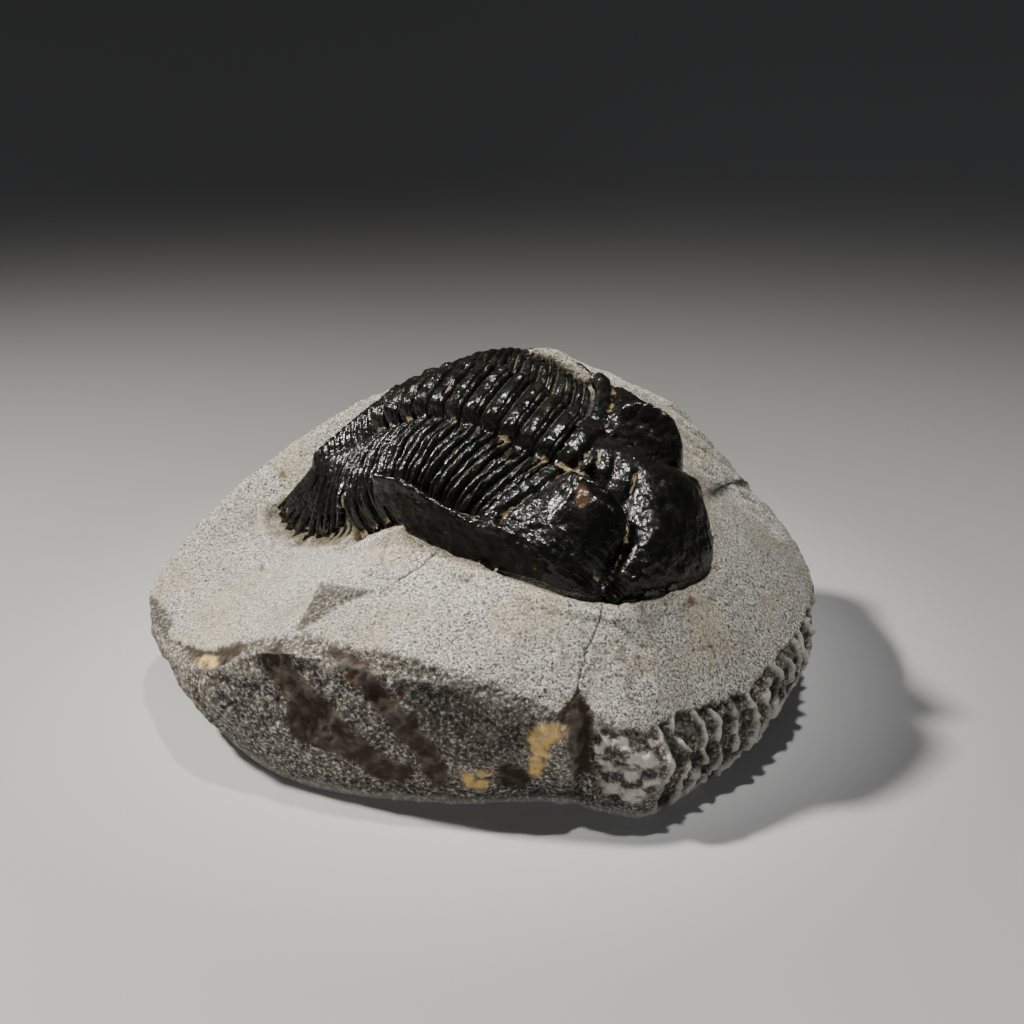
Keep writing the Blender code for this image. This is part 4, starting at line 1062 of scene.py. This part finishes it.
stone, surface = start_material("worked_limestone")
where = add_node(stone, "TexCoord")
grains = speckle(stone, where, 2900.0, 3.0, 0.65)
pale = ramp_of(stone, grains, 0, (0.37, "#3F3B33"), (0.45, "#A29E90"), (0.55, "#CAC6B8"), (0.63, "#F8F6EC"))
cloud = speckle(stone, where, 110.0, 8.0, 0.65)
tint = between(stone, cloud, 0.48, 0.72, 0.0, 0.6)
tinted = mixed(stone, (tint, 0), (pale, 0), "#B9A57F")
patchy = speckle(stone, where, 70.0, 9.0, 0.7)
shadowed = between(stone, patchy, 0.5, 0.7, 0.0, 0.55)
tinted = mixed(stone, (shadowed, 0), (tinted, 2), "#85827A")
speck = speckle(stone, where, 1500.0, 4.0, 0.75)
dots = between(stone, speck, 0.42, 0.35)
specked = mixed(stone, (dots, 0), (tinted, 2), "#37332D")
rust_noise = speckle(stone, where, 700.0, 5.0, 0.75)
rusty = between(stone, rust_noise, 0.64, 0.72, 0.0, 0.75)
top_colour = mixed(stone, (rusty, 0), (specked, 2), "#9A7446")
side_noise = speckle(stone, where, 1700.0, 5.0, 0.72)
side_colour = ramp_of(
    stone, side_noise, 0, (0.36, "#100E0C"), (0.46, "#4F4A41"), (0.55, "#8B8578"), (0.65, "#F0EBDD")
)
layer = (side_colour, 0)
for name, code, weight in (
    ("brown", "#37291A", 0.97), ("ochre", "#F0C878", 0.92),
    ("pale", "#DDD7C8", 0.85), ("rust", "#8E3F1A", 0.9),
):
    layer = stained(layer, name, code, weight)
broken_amount = add_node(stone, "Attribute", {"attribute_name": "broken"})
layer = (mixed(stone, (broken_amount, "Fac"), (top_colour, 2), layer), 2)
# The clay colour also lays the painted shadow before the head, and the crack colour also the painted shade
# and shadow
for name, code, weight in (("clay_and_head_shadow", "#5C4E32", 0.85), ("rust", "#5E3216", 0.85), ("crack", "#1C1814", 0.9)):
    layer = stained(layer, name, code, weight)
stone.node_tree.links.new(layer[0].outputs[2], surface.inputs["Base Color"])
surface.inputs["Roughness"].default_value = 0.85
coarse = add_node(stone, "Bump", links={"Height": (speck, 0)}, Strength=1.0, Distance=0.0007)
pits = add_node(
    stone, "Bump", links={"Height": (grains, 0), "Normal": (coarse, 0)}, Strength=0.8, Distance=0.0003
)
stone.node_tree.links.new(pits.outputs[0], surface.inputs["Normal"])
print("stone nodes:", len(stone.node_tree.nodes))

# %% Materials on, furrows painted
BLOCK_TRIANGLES = 195000
WORN = [(575, 488), (583, 485), (590, 490), (591, 500), (584, 508), (576, 505)]
for piece in plates:
    hollow = hollowness(piece, 2) if piece != head else 0.35 * hollowness(piece, 8)
    points = points_of(piece)
    at = pixels_of(points)
    held = smooth(-0.35, 0.25, grain(points, 2.6, 61.0))
    paint(piece, "residue", (limited(hollow / 0.05) * 0.68 - 0.1) * held)
    worn = patch(at + 3.0 * grain(points, 1.0)[:, None], WORN, 3.0) * seen(normals_of(piece))
    paint(piece, "wear", worn * (piece == head))
    move_points(piece, inside_box(points))
    piece.data.materials.clear()
    piece.data.materials.append(shell)
    if piece == head:
        piece.data.materials.append(satin)
        s, t, h = measures_of(points).T
        outer = (t > 12.0) & (normals_of(piece)[:, 1] < -0.45) & (h < -6.0) & (s < 62.0)
        corners = [all(outer[i] for i in polygon.vertices) for polygon in piece.data.polygons]
        piece.data.polygons.foreach_set("material_index", np.array(corners, int))
    piece.data.polygons.foreach_set("use_smooth", np.ones(len(piece.data.polygons), bool))
    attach(piece, "root")
# Merge faces where the stone is flattest, such as its underside, to stay under 200,000 triangles
finish_with(block, "DECIMATE", ratio=BLOCK_TRIANGLES / len(block.data.polygons))
move_points(block, inside_box(points_of(block)))
print("triangles of the block:", len(block.data.polygons))
block.data.materials.clear()
block.data.materials.append(stone)
block.data.polygons.foreach_set("use_smooth", np.ones(len(block.data.polygons), bool))
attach(block, "root")
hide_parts("matrix")
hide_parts("cephalon")
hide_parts("pygidium")
for number, piece in enumerate(segments, 1):
    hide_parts(f"thorax_segment_{number:02d}")

# %% [markdown]
# ## Floor, light and camera
# The block stands on a plain pale floor. The main light is a spot from the upper left and a little behind, so
# the front is in half shade and the waxed crests catch it. A narrow spot from above falls on the specimen
# alone, and a weak wide light from low in front opens the shade.

# %% Floor and light
bpy.ops.object.select_all(action="DESELECT")
bpy.ops.mesh.primitive_plane_add(size=4.0, location=(0.0, 1.0, 0.0))
floor = bpy.context.object
floor.name = "floor"
paper, surface = start_material("pale_floor")
surface.inputs["Base Color"].default_value = linear("#B0B0AF")
surface.inputs["Roughness"].default_value = 0.7
floor.data.materials.append(paper)
floor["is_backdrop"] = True


def add_light(name, kind, place_at, aim, energy, colour="#FFFFFF", **settings):
    """A light that shines from one point at another."""
    bpy.ops.object.light_add(type=kind, location=place_at)
    lamp = bpy.context.object
    lamp.name = name
    lamp.data.energy = energy
    lamp.data.color = linear(colour)[:3]
    for key, value in settings.items():
        setattr(lamp.data, key, value)
    lamp.rotation_euler = (Vector(aim) - Vector(place_at)).to_track_quat("-Z", "Y").to_euler()
    return lamp


add_light(
    "key", "SPOT", (-0.52, 0.12, 0.61), (0.0, -0.22, 0.0), 60.0, "#FFFAF3",
    shadow_soft_size=0.04, spot_size=np.radians(58.0), spot_blend=1.0,
)
add_light(
    "top", "SPOT", (0.07, 0.05, 0.80), (0.004, 0.004, 0.02), 45.0,
    shadow_soft_size=0.04, spot_size=np.radians(7.2), spot_blend=0.4,
)
fill = add_light("fill", "AREA", (0.2, -1.0, 0.2), (0.0, 0.0, 0.02), 3.4, "#F2F5FF", size=0.5)
fill.visible_glossy = False
world = bpy.data.worlds.new("studio")
bpy.context.scene.world = world
world.use_nodes = True
world.node_tree.nodes["Background"].inputs["Color"].default_value = linear("#9A9A9C")
world.node_tree.nodes["Background"].inputs["Strength"].default_value = 0.11

# %% Camera at the photograph's angle
bpy.ops.object.camera_add(location=eye, rotation=(np.pi / 2 - ELEVATION, 0.0, 0.0))
camera = bpy.context.object
camera.data.lens = LENS
camera.data.sensor_width = FILM
camera.data.clip_start = 0.01
camera.data.shift_x = (PHOTO / 2 - shift[0]) / PHOTO
camera.data.shift_y = (shift[1] - PHOTO / 2) / PHOTO
bpy.context.scene.camera = camera
print("camera shift:", round(camera.data.shift_x, 4), round(camera.data.shift_y, 4))

# %% Measure and finish
low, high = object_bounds()
print("box in mm:", [round(side / MM, 1) for side in high - low])
past_box = [*(cad_low - low), *(high - cad_high)]
print("stands out of the packed box by mm:", [round(side / MM, 2) for side in past_box])
